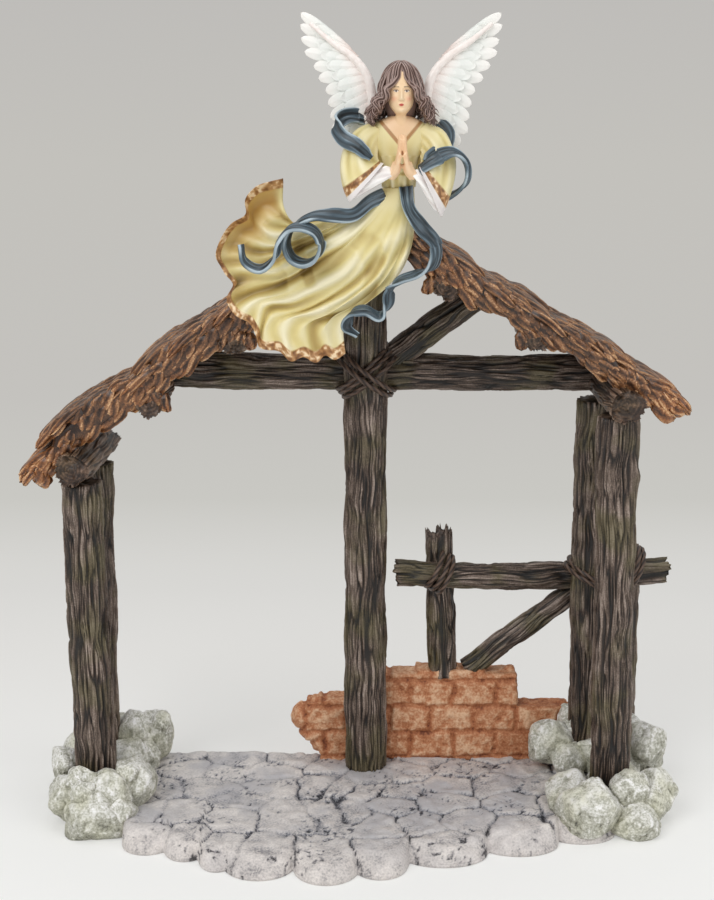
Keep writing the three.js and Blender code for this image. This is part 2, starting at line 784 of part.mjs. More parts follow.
// The head and neck, through rings of height, half width, half depth and offset to the back.
function head() {
  const levels = [
    [-19, 5.4, 5.2, 1],
    [-12, 4.7, 4.9, 0],
    [-11, 5.4, 6.4, -2],
    [-8, 7.2, 8.6, -1.5],
    [-2, 8.5, 9.6, -0.5],
    [4, 8.8, 10, 0],
    [9, 8, 9.2, 0.5],
    [12.6, 5, 6, 1],
    [14, 1.5, 2, 1],
  ];
  const ring = ([z, halfX, halfY, y]) => ellipseRing(onAngel(1, y - 4, headHeight + z), halfX, halfY, 12);
  const skull = loft(levels.map(ring));
  const nose = new THREE.ConeGeometry(1.5 * figureScale, 5.5 * figureScale, 4).rotateX(-0.25);
  const tip = onAngel(1, -13.2, headHeight - 1.5);
  return skull.add(solidFromGeometry(nose.translate(tip.x, tip.y, tip.z)));
}

// Hair that falls from a middle parting to the shoulders, fluted into locks.
function hair() {
  const levels = [
    [-25, 17, 8, 2],
    [-20, 22.5, 10, 0],
    [-14, 22, 10.5, -1],
    [-8, 18, 10.5, -1],
    [-2, 14.5, 11.5, -1.5],
    [5, 13, 12, -2],
    [11, 11.5, 11.5, -2.5],
    [16, 8, 8, -3],
    [18.5, 3, 3, -3],
  ];
  const points = 12;
  const shell = loft(
    levels.map(([z, rx, ry, y], level) => {
      const ring = ellipseRing(onAngel(1, y, headHeight + z), rx, ry, points);
      const middle = onAngel(1, y, headHeight + z);
      ring.forEach((p, i) => {
        const lock = (i % 2 ? 0.055 : -0.055) + 0.05 * ripple(i + level, level);
        p.addScaledVector(p.clone().sub(middle), lock);
        p.z += level === 0 ? 3 * ripple(i, 2) : 0;
      });
      return ring;
    }),
  );
  const parting = [
    [-27, 8, 18],
    [-8, 8.6, 18.5],
    [2, 9.4, 18.5],
    [7, 6.5, 17],
    [11.5, 1.2, 15],
  ];
  const face = loft(parting.map(([z, rx, ry]) => ellipseRing(onAngel(1, -24, headHeight + z), rx, ry, 8)));
  return shell.subtract(face);
}

function prayingHands() {
  const hand = (side) => {
    const levels = [
      [6, 3, 3, -18, 7.2],
      [11, 3.2, 3.6, -18.5, 4.2],
      [16, 3.2, 4.4, -20, 2.7],
      [22, 2.6, 4, -21, 2.1],
      [29, 2, 2.6, -21.5, 1.5],
      [33, 1.2, 1.5, -21.5, 0.8],
    ];
    const level = ([z, rx, ry, y, out]) => ellipseRing(onAngel(1.5 + side * out, y, z), rx, ry, 8);
    return loft(levels.map(level));
  };
  return hand(-1).add(hand(1));
}

// A bell sleeve from the shoulder to its open cuff, hollow at the mouth. Tilts are for the viewer's left.
function bellSleeve(side, { elbow, cuff, cuffTilt, cuffHalfLength }) {
  const inward = vec(side * 3.7, -0.6, 1.8);
  const ring = (at, halfX, halfY, tilt, depth = 0) => {
    const middle = vec(...at).addScaledVector(inward, depth);
    return ellipseRing(onAngel(middle.x, middle.y, middle.z), halfX, halfY, 12, -side * tilt);
  };
  const mouth = [side * cuff[0], cuff[1], cuff[2]];
  const outside = loft([
    ring([side * 13.5, 0, 33.6], 6, 6.5, -0.7),
    ring([side * 22, -3, 27], 9, 7.5, -0.35),
    ring([side * elbow[0], -6.5, elbow[1] + 6], 11, 8.3, 0.1),
    ring([side * elbow[0], -11, elbow[1] - 2], 0.85 * cuffHalfLength, 8.2, 0.6 * cuffTilt),
    ring(mouth, cuffHalfLength, 6.2, cuffTilt),
  ]);
  const hollow = loft([
    ring(mouth, cuffHalfLength - 2, 4.4, cuffTilt, -0.3),
    ring(mouth, 0.55 * cuffHalfLength, 3, cuffTilt, 0.8),
  ]);
  return outside.subtract(hollow);
}

// The pale inner sleeve that fills the bell sleeve's mouth and narrows towards the wrist.
function innerSleeve(side, { cuff, cuffTilt, cuffHalfLength }) {
  const mouth = vec(side * cuff[0], cuff[1], cuff[2]);
  const wrist = vec(1.5 + side * 6, -18.2, 8.5);
  const ring = (share, length, halfDepth) => {
    const middle = mouth.clone().lerp(wrist, share);
    const place = onAngel(middle.x, middle.y, middle.z);
    return ellipseRing(place, length * cuffHalfLength, halfDepth, 8, -side * cuffTilt);
  };
  return loft([
    ring(-0.5, 0.4, 2.4),
    ring(0.1, 0.8, 3.6),
    ring(0.45, 0.62, 4),
    ring(0.8, 0.36, 4.1),
    ring(1.05, 0.24, 3.8),
  ]);
}

const leftCuff = { elbow: [25, 13], cuff: [20, -18, 4], cuffTilt: 0.85, cuffHalfLength: 15 };
const rightCuff = { elbow: [23.5, 11], cuff: [19, -18, -1], cuffTilt: 1.15, cuffHalfLength: 16 };

// A wing between its bone and the tips of its feathers. Each side steps down over three rows of feathers.
function wing(side, outward) {
  const place = ([x, z]) => [side * x * outward, z];
  const bone = curveThrough([[12, 34], [15, 50], [17, 64], [25, 77], [40, 88], [58, 103]].map(place));
  const tipPlaces = [[28, 20], [39, 26], [43, 40], [46, 55], [53, 70], [61, 86], [61, 105]];
  const tips = curveThrough(tipPlaces.map(place));
  const rows = [
    [0, 0.9],
    [0.2, 1],
    [0.32, 0.6],
    [0.55, 0.75],
    [0.66, 0.4],
    [1, 0.2],
  ];
  const steps = 2 * wingFeathers;
  const rings = [];
  for (let i = 0; i <= steps; i++) {
    const s = i / steps;
    const from = bone.getPointAt(s);
    const to = tips.getPointAt(s);
    const back = 9 + 14 * s * s;
    const at = (share, thick) => {
      const p = from.clone().lerp(to, share * (i % 2 ? 1 : 0.91)).add(waist);
      return p.setY(waist.y + figureScale * (back + 4 * share * share) + thick);
    };
    const face = rows.map(([share, thick]) => at(share, -0.5 * wingThickness * thick));
    const rear = rows.map(([share, thick]) => at(share, 0.5 * wingThickness * thick));
    rings.push([...face, ...rear.reverse()]);
  }
  return loft(rings);
}

// A flat ribbon along a route. Each point is its place and the way that the ribbon's width lies.
function ribbon(route, width = sashWidth) {
  const smooth = (points) => new THREE.CatmullRomCurve3(points, false, "centripetal");
  const line = smooth(route.map(([x, y, z]) => onAngel(x, y, z)));
  const lay = smooth(route.map(([, , , x, y, z]) => vec(x, y, z)));
  const steps = 2 * route.length;
  const rings = [];
  for (let i = 0; i <= steps; i++) {
    const s = i / steps;
    const middle = line.getPoint(s);
    const ahead = line.getTangent(s);
    const flat = lay.getPoint(s).normalize();
    flat.addScaledVector(ahead, -flat.dot(ahead)).normalize();
    const proud = ahead.clone().cross(flat);
    const half = (width / 2) * (0.72 + 0.28 * Math.sin(Math.PI * Math.min(1, 0.15 + 0.9 * s)));
    const thick = sashThickness / 2;
    const corner = (a, b) => {
      const place = middle.clone().addScaledVector(flat, a * half);
      return place.addScaledVector(proud, b * thick);
    };
    const section = [[-1, -1], [0, -0.3], [1, -1], [1, 1], [0, 1.7], [-1, 1]];
    rings.push(section.map(([a, b]) => corner(a, b)));
  }
  // Two halves that are joined, because a curl touches itself where it crosses.
  const middle = steps / 2;
  return join(loft(rings.slice(0, middle + 1)), loft(rings.slice(middle)));
}

const sashLeftTail = [
  [-9, -10, -4, 0, 0.2, 1],
  [-18, -15.5, -8, 0, 0.2, 1],
  [-28, -20, -15, 0, 0.4, 1],
  [-42, -22.5, -15, 0, 0.6, 0.8],
  [-55, -21, -16, 0.2, 0.9, 0.5],
  [-65, -19, -23, 0.45, 1, 0.4],
  [-69, -19, -34, 0.45, 1, 0.4],
  [-65.5, -20, -42, 0.45, 1, 0.4],
  [-58.5, -21, -44.5, 0.45, 1, 0.4],
  [-51, -22, -41, 0.45, 1, 0.4],
  [-48, -23, -33.5, 0.45, 1, 0.4],
  [-51, -24, -25.5, 0.45, 1, 0.4],
  [-59, -25, -21.5, 0.45, 1, 0.4],
  [-67.5, -26, -23, 0.45, 1, 0.4],
  [-74, -26, -31, 0.45, 1, 0.4],
  [-77, -25, -41, 0.4, 1, 0.5],
  [-86, -24, -47.5, 0.2, 1, 0.6],
  [-95, -24, -43, 0.2, 1, 0.6],
  [-97, -23, -33, 0.3, 0.9, 0.6],
];
const sashRightTail = [
  [4, -9, 1, 0.9, 0.3, 0.3],
  [6, -12.5, -12, 0.9, 0.3, 0.3],
  [14, -13, -24, 0.8, 0.4, 0.4],
  [23, -13, -35, 0.8, 0.5, 0],
  [22, -12, -47, 0.5, 0.8, -0.4],
  [12, -13, -53, 0, 1, 0.3],
  [1, -14, -57, 0, 1, 0.4],
  [-6, -14, -64, 0.6, 0.8, 0],
  [-7, -13, -72, 0.6, 0.8, 0.2],
  [-12, -13, -79, 0, 0.8, 0.6],
  [-21, -14, -75, 0, 0.8, 0.6],
  [-29, -14, -77, 0.4, 0.8, 0.4],
  [-33, -14, -86, 0.8, 0.6, 0],
  [-26, -14, -92, 0.3, 0.8, 0.4],
];
const sashLeftShoulder = [
  [-10, 9, 32, 0, 0.3, 1],
  [-20, 9, 41, 0, 0.4, 1],
  [-32, 4, 43, 0, 0.6, 0.9],
  [-39, -4, 38, 0.3, 0.3, 0.9],
  [-35, -11, 31, 0.5, 0, 0.8],
  [-26, -15, 26, 0.5, 0, 0.8],
  [-17, -17, 19, 0.4, -0.2, 0.8],
];
const sashRightLoop = [
  [11, 9, 33, 0, 0.3, 1],
  [22, 9, 39, 0, 0.5, 0.9],
  [30, 5, 33, 0.4, 0.5, 0.7],
  [29, 0, 25, 0.7, 0.5, 0.4],
  [22, -10, 21, 0.4, 0.3, 0.8],
  [16, -17, 16, 0.3, 0.4, 0.8],
];
const sashRightHoop = [
  [12, -18, 12, 0.2, 0.6, 0.8],
  [22, -20, 19, 0, 0.6, 0.8],
  [33, -17, 22, 0, 0.9, 0.4],
  [41, -12, 15, 0.2, 1, 0],
  [41, -8, 3, 0.3, 1, 0.1],
  [33, -5, -4, 0.3, 0.9, 0.4],
  [25, -4, -6, 0.3, 0.6, 0.7],
];

// Building the pieces. A piece that meets another is cut to seat on it.

const pieces = {};

function buildStable() {
  const ground = floorHeight + seatGap;
  const leftPlate = plateHeight(leftPostX);
  const rightPlate = plateHeight(rightPostX);
  const post = (x, y, lean, top, radius, seed) => {
    const ends = { from: vec(x + lean, y, ground), to: vec(x, y, top) };
    return barkLog({ ...ends, radius: 1.03 * radius, endRadius: radius, seed, steps: 4 });
  };

  pieces.left_thatch = thatch(-1);
  pieces.right_thatch = thatch(1);
  const plate = (x, z, backY, seed, skew) =>
    acrossLog(x, z, plateRadius, frontPostY - plateOverhang, backY, seed, skew);
  pieces.left_wall_plate = plate(leftPostX + 1, leftPlate, roofBackY, 2, 4);
  pieces.right_wall_plate = plate(rightPostX, rightPlate, roofBackY - 2, 5, -2);
  pieces.left_front_post = post(leftPostX, frontPostY, 3, leftPlate - plateSaddle, postRadius, 1);
  pieces.left_back_post = post(leftPostX + 1, backPostY, -4, leftPlate - plateSaddle, postRadius, 3);
  pieces.right_front_post = post(rightPostX, frontPostY, 4, rightPlate - plateSaddle, postRadius, 6);
  pieces.right_back_post = post(rightPostX - 7, backPostY, 1, rightPlate - plateSaddle, postRadius, 8);
  pieces.center_post = post(ridgeX - 4, centerPostY, 0, ridgeHeight, centerPostRadius, 4);

  const purlinNames = ["left_lower_purlin", "left_upper_purlin", "right_upper_purlin", "right_lower_purlin"];
  [...leftPurlins, ...rightPurlins].forEach((x, i) => {
    const name = purlinNames[i];
    pieces[name] = acrossLog(x, purlinHeight(x), purlinRadius, roofFrontY + 6, roofBackY - 3, 10 + i);
    const slope = x < ridgeX ? "left_thatch" : "right_thatch";
    pieces[slope] = seatOn(pieces[slope], pieces[name]);
  });

  pieces.tie_beam = barkLog({
    from: vec(beamLeftX, beamY, beamHeight),
    to: vec(rightPostX - plateRadius, beamY, beamHeight - 2),
    radius: beamRadius,
    seed: 7,
    steps: 6,
    bow: vec(0, 0, -1),
  });
  pieces.gable_brace = barkLog({
    from: vec(gableBraceFootX - 9, beamY - 3, beamHeight + 3),
    to: vec(gableBraceHeadX + 4, beamY - 8, undersideAt(gableBraceHeadX) + 3),
    radius: gableBraceRadius,
    seed: 9,
    steps: 4,
  });

  for (const side of ["left", "right"]) {
    for (const row of ["front", "back"]) {
      const name = `${side}_${row}_post`;
      pieces[name] = seatOn(pieces[name], pieces[`${side}_wall_plate`]);
    }
    pieces[`${side}_wall_plate`] = seatOn(pieces[`${side}_wall_plate`], pieces[`${side}_thatch`]);
  }
  pieces.center_post = seatOn(pieces.center_post, pieces.left_thatch, pieces.right_thatch);
  const thatches = [pieces.left_thatch, pieces.right_thatch];
  const purlins = purlinNames.map((name) => pieces[name]);
  const beamMeets = ["center_post", "left_wall_plate", "right_wall_plate", "right_back_post"];
  const roof = [...thatches, ...purlins];
  pieces.tie_beam = seatOn(pieces.tie_beam, ...beamMeets.map((name) => pieces[name]), ...roof);
  pieces.gable_brace = seatOn(pieces.gable_brace, pieces.center_post, pieces.tie_beam, ...roof);
}

function buildFence() {
  const wallTop = floorHeight + 3 * brickHeight;
  const fenceY = wallFrontY + wallThickness / 2;
  pieces.brick_wall = seatOn(brickWall(), pieces.center_post);
  pieces.fence_post = barkLog({
    from: vec(fencePostX + 4, fenceY, wallTop + 1),
    to: vec(fencePostX, fenceY, fencePostTop - 3),
    radius: fencePostRadius + 0.5,
    endRadius: fencePostRadius - 0.5,
    raggedEnd: 5,
    seed: 11,
  });
  pieces.fence_end_post = barkLog({
    from: vec(endPostX + 2, fenceY + 3, floorHeight + seatGap),
    to: vec(endPostX, fenceY + 3, endPostTop),
    radius: endPostRadius + 0.6,
    endRadius: endPostRadius - 0.6,
    raggedEnd: 4,
    seed: 12,
  });
  pieces.fence_rail = barkLog({
    from: vec(railLeftX, wallFrontY - 4, railHeight),
    to: vec(railRightX, wallFrontY + 6, railHeight - 1),
    radius: railRadius,
    raggedStart: 3,
    raggedEnd: 2,
    bow: vec(0, 0, -3),
    steps: 5,
    seed: 13,
  });
  pieces.fence_brace = barkLog({
    from: vec(fencePostX + 22, fenceY, wallTop + 4),
    to: vec(rightPostX - 14, fenceY, railHeight - railRadius - 6),
    radius: fenceBraceRadius,
    seed: 14,
  });
  pieces.fence_rail = seatOn(pieces.fence_rail, pieces.right_back_post);
  pieces.fence_post = seatOn(pieces.fence_post, pieces.fence_rail, pieces.brick_wall);
  pieces.fence_end_post = seatOn(pieces.fence_end_post, pieces.fence_rail);
  const braceMeets = [pieces.fence_post, pieces.brick_wall, pieces.fence_rail, pieces.right_back_post];
  pieces.fence_brace = seatOn(pieces.fence_brace, ...braceMeets);
}

function buildLashings() {
  const wound = (middle, angle, half, depth, turns) =>
    winding({ middle, wide: vec(half * Math.cos(angle), 0, half * Math.sin(angle)), deep: depth, turns });
  const slant = radians(38);
  const crossing = vec(ridgeX - 4, (centerPostY + beamY) / 2, beamHeight);
  const underDepth = centerPostRadius + beamSetback / 2 + ropeRadius + 1.2;
  const overDepth = underDepth + 2 * ropeRadius + seatGap;
  const reach = 1.75 * centerPostRadius;
  const under = wound(crossing, slant, reach, vec(0, underDepth, 0), 3);
  const over = wound(crossing, -slant, reach + 1, vec(0, overDepth, 0), 2);
  pieces.center_lashing_under = seatOn(under, pieces.center_post, pieces.tie_beam, pieces.gable_brace);
  const overMeets = [pieces.center_post, pieces.tie_beam, pieces.gable_brace, pieces.center_lashing_under];
  pieces.center_lashing_over = seatOn(over, ...overMeets);

  // A loop round two crossed logs, wide enough for its outer turns to pass beside both.
  const loopHalf = (angle, upright, level) => {
    const besideUpright = (1.05 * upright + ropeRadius + ropePitch * Math.sin(angle)) / Math.cos(angle);
    const besideLevel = (1.05 * level + ropeRadius + ropePitch * Math.cos(angle)) / Math.sin(angle);
    return Math.max(besideUpright, besideLevel) - 0.4 * ropeRadius;
  };
  const steep = radians(46);
  const fenceDepth = vec(0, railRadius + fencePostRadius - 2 + ropeRadius, 0);
  const fenceJoint = vec(fencePostX + 0.5, wallFrontY + 1, railHeight);
  const fence = wound(fenceJoint, steep, loopHalf(steep, fencePostRadius, railRadius), fenceDepth, 2);
  pieces.fence_lashing = seatOn(fence, pieces.fence_post, pieces.fence_rail);

  const shallow = radians(36);
  const postJoint = vec(rightPostX - 6.5, backPostY + 6.5, railHeight + 1);
  const postDepth = vec(0, postRadius + railRadius - 2, 0);
  const post = wound(postJoint, -shallow, loopHalf(shallow, postRadius, railRadius), postDepth, 2);
  pieces.post_lashing = seatOn(post, pieces.right_back_post, pieces.fence_rail, pieces.fence_brace);

  const endJoint = vec(endPostX, wallFrontY + 7, railHeight + 1);
  const endDepth = vec(0, railRadius + endPostRadius - 1 + ropeRadius, 0);
  const end = wound(endJoint, steep, loopHalf(steep, endPostRadius, railRadius), endDepth, 2);
  const endMeets = [pieces.fence_end_post, pieces.fence_rail, pieces.right_back_post, pieces.post_lashing];
  pieces.end_lashing = seatOn(end, ...endMeets);
}

function buildGround() {
  pieces.paved_base = pavedBase();
  const posts = ["left_front_post", "left_back_post", "right_front_post", "right_back_post", "center_post"];
  for (const name of [...posts, "fence_end_post"]) {
    const box = pieces[name].boundingBox();
    const foot = vec((box.min[0] + box.max[0]) / 2, (box.min[1] + box.max[1]) / 2, floorHeight + seatGap);
    const lean = name === "fence_end_post" ? 1 : 0;
    foot.x += lean;
    [pieces[name], pieces.paved_base] = pegJoint(pieces[name], pieces.paved_base, foot, vec(0, 0, -1));
  }
  const wallFoot = wallFrontY + wallThickness / 2;
  for (const x of [topCourseLeftX + 16, topCourseRightX - 14]) {
    const at = vec(x, wallFoot, floorHeight + seatGap);
    const pegged = pegJoint(pieces.brick_wall, pieces.paved_base, at, vec(0, 0, -1));
    [pieces.brick_wall, pieces.paved_base] = pegged;
  }
  const standingNames = [...posts, "fence_end_post", "brick_wall"];
  const standing = [pavingBlock(), ...standingNames.map((name) => pieces[name])];
  pieces.left_front_rocks = seatOn(boulders(leftFrontRocks), ...standing);
  pieces.left_back_rocks = seatOn(boulders(leftBackRocks), ...standing, pieces.left_front_rocks);
  pieces.right_front_rocks = seatOn(boulders(rightFrontRocks), ...standing);
  pieces.right_back_rocks = seatOn(boulders(rightBackRocks), ...standing, pieces.right_front_rocks);
}

function buildAngel() {
  pieces.angel_gown = seatOn(gown(), pieces.left_thatch, pieces.right_thatch);
  pieces.angel_bodice = seatOn(bodice(), pieces.angel_gown, pieces.right_thatch, pieces.left_thatch);
  pieces.angel_head = seatOn(head(), pieces.angel_bodice);
  pieces.angel_hair = seatOn(hair(), pieces.angel_head, pieces.angel_bodice);
  const dressed = [pieces.angel_gown, pieces.angel_bodice, pieces.angel_hair];
  pieces.angel_left_sleeve = seatOn(bellSleeve(-1, leftCuff), ...dressed);
  pieces.angel_right_sleeve = seatOn(bellSleeve(1, rightCuff), ...dressed);
  pieces.angel_hands = seatOn(prayingHands(), ...dressed);
  const held = [...dressed, pieces.angel_hands];
  pieces.angel_left_cuff = seatOn(innerSleeve(-1, leftCuff), ...held, pieces.angel_left_sleeve);
  const rightMeets = [...held, pieces.angel_right_sleeve, pieces.angel_left_cuff];
  pieces.angel_right_cuff = seatOn(innerSleeve(1, rightCuff), ...rightMeets);

  const bareWings = { angel_left_wing: wing(-1, 1), angel_right_wing: wing(1, 1.05) };
  for (const [name, solid] of Object.entries(bareWings)) {
    const side = name.includes("left") ? -1 : 1;
    const at = onAngel(side * 12.5, 9.5, 34.4);
    const [pegged, body] = pegJoint(solid, pieces.angel_bodice, at, vec(0, -1, 0), 2, 6);
    pieces.angel_bodice = body;
    pieces[name] = seatOn(pegged, pieces.angel_hair, pieces[`angel_${side < 0 ? "left" : "right"}_sleeve`]);
  }
  const sleeveNames = ["angel_left_sleeve", "angel_right_sleeve", "angel_left_cuff", "angel_right_cuff"];
  const sleeves = sleeveNames.map((name) => pieces[name]);
  const wings = [pieces.angel_left_wing, pieces.angel_right_wing];
  const wearing = [...dressed, ...sleeves, pieces.angel_hands, ...wings];
  const roof = [pieces.left_thatch, pieces.right_thatch, pieces.right_upper_purlin];
  const worn = [];
  const sashes = {
    sash_left_tail: sashLeftTail,
    sash_right_tail: sashRightTail,
    sash_left_shoulder: sashLeftShoulder,
    sash_right_shoulder: sashRightLoop,
    sash_right_hoop: sashRightHoop,
  };
  for (const [name, route] of Object.entries(sashes)) {
    pieces[name] = seatOn(ribbon(route), ...wearing, ...roof, ...worn);
    worn.push(pieces[name]);
  }

  const peg = vec(ridgeX - 4, waist.y + gownLean - 1, ridgeHeight + 0.35 * leftThatchThickness);
  const gownPeg = pegJoint(pieces.angel_gown, pieces.left_thatch, peg, vec(0, 1, 0), 2.4, 9);
  [pieces.angel_gown, pieces.left_thatch] = gownPeg;
}

buildStable();
buildFence();
buildLashings();
buildGround();
buildAngel();

// Finishes

const finish = (color, roughness) => new THREE.MeshStandardMaterial({ color, roughness, metalness: 0 });
const finishes = {
  bark: finish(0x44362e, 0.75),
  thatch: finish(0x8a4f2e, 0.7),
  paving: finish(0x98918f, 0.8),
  boulder: finish(0xa3a594, 0.7),
  brick: finish(0xc07a52, 0.8),
  rope: finish(0x3d332d, 0.8),
  gown: finish(0xd8c67c, 0.5),
  linen: finish(0xe6dfdc, 0.55),
  skin: finish(0xedc9a0, 0.45),
  hair: finish(0x6b5048, 0.6),
  feather: finish(0xf0ede4, 0.6),
  sash: finish(0x55636d, 0.35),
};
const finishOf = (name) => {
  const words = [
    ["thatch", "thatch"],
    ["lashing", "rope"],
    ["rocks", "boulder"],
    ["paved", "paving"],
    ["brick", "brick"],
    ["sash", "sash"],
    ["wing", "feather"],
    ["hair", "hair"],
    ["head", "skin"],
    ["hands", "skin"],
    ["cuff", "linen"],
    ["angel", "gown"],
  ];
  const found = words.find(([word]) => name.includes(word));
  return finishes[found ? found[1] : "bark"];
};

function meshOf(name, solid) {
  const data = solid.getMesh();
  const geometry = new THREE.BufferGeometry();
  const positions = new Float32Array(data.numVert * 3);
  for (let i = 0; i < data.numVert; i++) {
    positions.set(data.vertProperties.subarray(i * data.numProp, i * data.numProp + 3), i * 3);
  }
  geometry.setAttribute("position", new THREE.BufferAttribute(positions, 3));
  geometry.setIndex(new THREE.BufferAttribute(new Uint32Array(data.triVerts), 1));
  geometry.computeVertexNormals();
  const mesh = new THREE.Mesh(geometry, finishOf(name));
  mesh.name = name;
  return mesh;
}

// Pieces in named groups, as they are made and glued together.
const groups = [
  ["angel", ["angel", "sash"]],
  ["fence", ["fence"]],
  ["lashings", ["lashing"]],
  ["roof", ["thatch", "purlin"]],
  ["ground", ["paved", "rocks", "brick"]],
  ["frame", ["post", "plate", "beam", "brace"]],
];

const creche = new THREE.Group();
creche.name = "nativity_creche";
for (const [name] of groups) {
  const group = new THREE.Group();
  group.name = `${name}_pieces`;
  creche.add(group);
}
for (const [name, solid] of Object.entries(pieces)) {
  const lashed = name.includes("lashing");
  const place = groups.findIndex(([group, words]) =>
    lashed ? group === "lashings" : words.some((word) => name.includes(word)),
  );
  creche.children[place].add(meshOf(name, solid));
}

export default creche;
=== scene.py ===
"""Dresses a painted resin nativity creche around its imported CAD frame.

Places are worked out in millimetres and written to each mesh in metres. +Z is up and +Y is the back."""

import math

import bmesh
import bpy
import numpy as np
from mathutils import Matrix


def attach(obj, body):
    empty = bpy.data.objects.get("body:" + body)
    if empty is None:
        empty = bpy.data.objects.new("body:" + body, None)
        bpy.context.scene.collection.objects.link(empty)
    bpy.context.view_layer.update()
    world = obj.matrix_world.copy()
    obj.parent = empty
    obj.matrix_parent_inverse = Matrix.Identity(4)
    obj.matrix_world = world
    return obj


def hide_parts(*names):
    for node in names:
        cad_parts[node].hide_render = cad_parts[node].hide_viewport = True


bl_info = {
    "name": "Nativity Creche",
    "version": (1, 0, 0),
    "blender": (4, 5, 0),
    "location": "View3D > Sidebar > Creche",
    "description": "Models the painted surfaces of a resin nativity creche around its CAD frame",
    "category": "Object",
}

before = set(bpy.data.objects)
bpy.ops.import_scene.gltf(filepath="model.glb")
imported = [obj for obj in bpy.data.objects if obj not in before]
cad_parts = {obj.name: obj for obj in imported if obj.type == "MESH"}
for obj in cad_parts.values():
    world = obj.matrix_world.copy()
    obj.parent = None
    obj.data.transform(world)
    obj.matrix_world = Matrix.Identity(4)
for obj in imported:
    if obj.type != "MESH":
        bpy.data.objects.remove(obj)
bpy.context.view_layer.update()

MM = 0.001
BODY = "root"

# Places shared with the CAD part, in millimetres
FLOOR_TOP = 14.0
RIDGE = (10.0, 405.0)
PITCHES = {-1: math.radians(35.5), 1: math.radians(30.5)}
THATCH_Y = (-16.0, 68.0)
WAIST = np.array((26.0, -25.0, 436.0))


# Numbers that stand in for chance

def lattice(cell, seed):
    turn = cell[..., 0] * 127.1 + cell[..., 1] * 311.7 + cell[..., 2] * 74.7 + seed * 57.31
    value = np.sin(turn) * 43758.5453
    return value - np.floor(value)


def noise(points, seed=0):
    """Smooth noise from 0 to 1, with one bump to each unit cell."""
    base = np.floor(points)
    part = points - base
    part = part * part * (3 - 2 * part)
    total = 0.0
    for corner in np.ndindex(2, 2, 2):
        weight = np.prod(np.where(np.array(corner) == 1, part, 1 - part), axis=-1)
        total = total + weight * lattice(base + corner, seed)
    return total


def fractal(points, seed=0, octaves=3):
    """Noise with finer noise on it, from 0 to 1."""
    total, weight = 0.0, 0.0
    for octave in range(octaves):
        total = total + noise(points * 2.03**octave + 17.7 * octave, seed + octave) / 2**octave
        weight += 1 / 2**octave
    return total / weight


def ridges(points, seed=0):
    """Sharp crests where the noise crosses its middle, from 0 to 1."""
    return 1 - np.abs(2 * fractal(points, seed, 2) - 1) * 2.2


def cells(points, seed=0):
    """Distance to the nearest of points scattered one to a unit cell."""
    base = np.floor(points)
    nearest = np.full(points.shape[:-1], 9.0)
    for step in np.ndindex(3, 3, 3):
        cell = base + np.array(step) - 1
        spot = np.stack([lattice(cell, seed + k) for k in (0.1, 0.2, 0.3)], axis=-1)
        away = np.linalg.norm(cell + 0.5 + 0.9 * (spot - 0.5) - points, axis=-1)
        nearest = np.minimum(nearest, away)
    return nearest


def chances(count, *cell):
    """Numbers from 0 to 1 that belong to a cell."""
    return [float(lattice(np.array(cell), k)) for k in range(count)]


def smoothstep(low, high, value):
    share = np.clip((value - low) / (high - low), 0, 1)
    return share * share * (3 - 2 * share)


def mix(a, b, share):
    return a + (b - a) * share


def bell(*terms):
    """A smooth hill, 1 where every term is 0 and falling away as they leave it."""
    return np.exp(-sum(term**2 for term in terms))


def power(values, exponent):
    """A power that keeps the sign of its values."""
    return np.sign(values) * np.abs(values) ** exponent


# Meshes

def read(mesh, key="co"):
    """The places, in metres, or the normals of a mesh's vertices."""
    values = np.empty(len(mesh.vertices) * 3)
    mesh.vertices.foreach_get(key, values)
    return values.reshape(-1, 3)


def write(mesh, points):
    """Moves a mesh's vertices to places in millimetres."""
    mesh.vertices.foreach_set("co", np.ascontiguousarray(points * MM, dtype=np.float32).ravel())


def smooth_faces(mesh):
    mesh.polygons.foreach_set("use_smooth", np.ones(len(mesh.polygons), dtype=bool))
    mesh.update()


def places(piece):
    """The places of a piece's vertices in millimetres."""
    return read(piece.data) / MM


def paint(piece, **values):
    """Stores values on a piece's vertices, for its finish to read."""
    mesh = piece.data
    for key, value in values.items():
        layer = mesh.attributes.get(key) or mesh.attributes.new(key, "FLOAT", "POINT")
        layer.data.foreach_set("value", np.broadcast_to(value, len(mesh.vertices)).astype(np.float32))


def painted(piece, key):
    """The values that were painted on a piece under a name."""
    values = np.empty(len(piece.data.vertices))
    piece.data.attributes[key].data.foreach_get("value", values)
    return values


# Blanks: each is modelled once, and copied for the pieces that are shaped from it

blanks = {}


def cut_edges(piece, wanted, cuts):
    """Subdivides the edges that a test picks by their two ends."""
    bpy.ops.object.mode_set(mode="EDIT")
    bpy.ops.mesh.select_mode(type="EDGE")
    bpy.ops.mesh.select_all(action="DESELECT")
    mesh = bmesh.from_edit_mesh(piece.data)
    for edge in mesh.edges:
        edge.select = wanted(*(v.co for v in edge.verts))
    bmesh.update_edit_mesh(piece.data)
    bpy.ops.mesh.subdivide(number_cuts=cuts)
    bpy.ops.object.mode_set(mode="OBJECT")


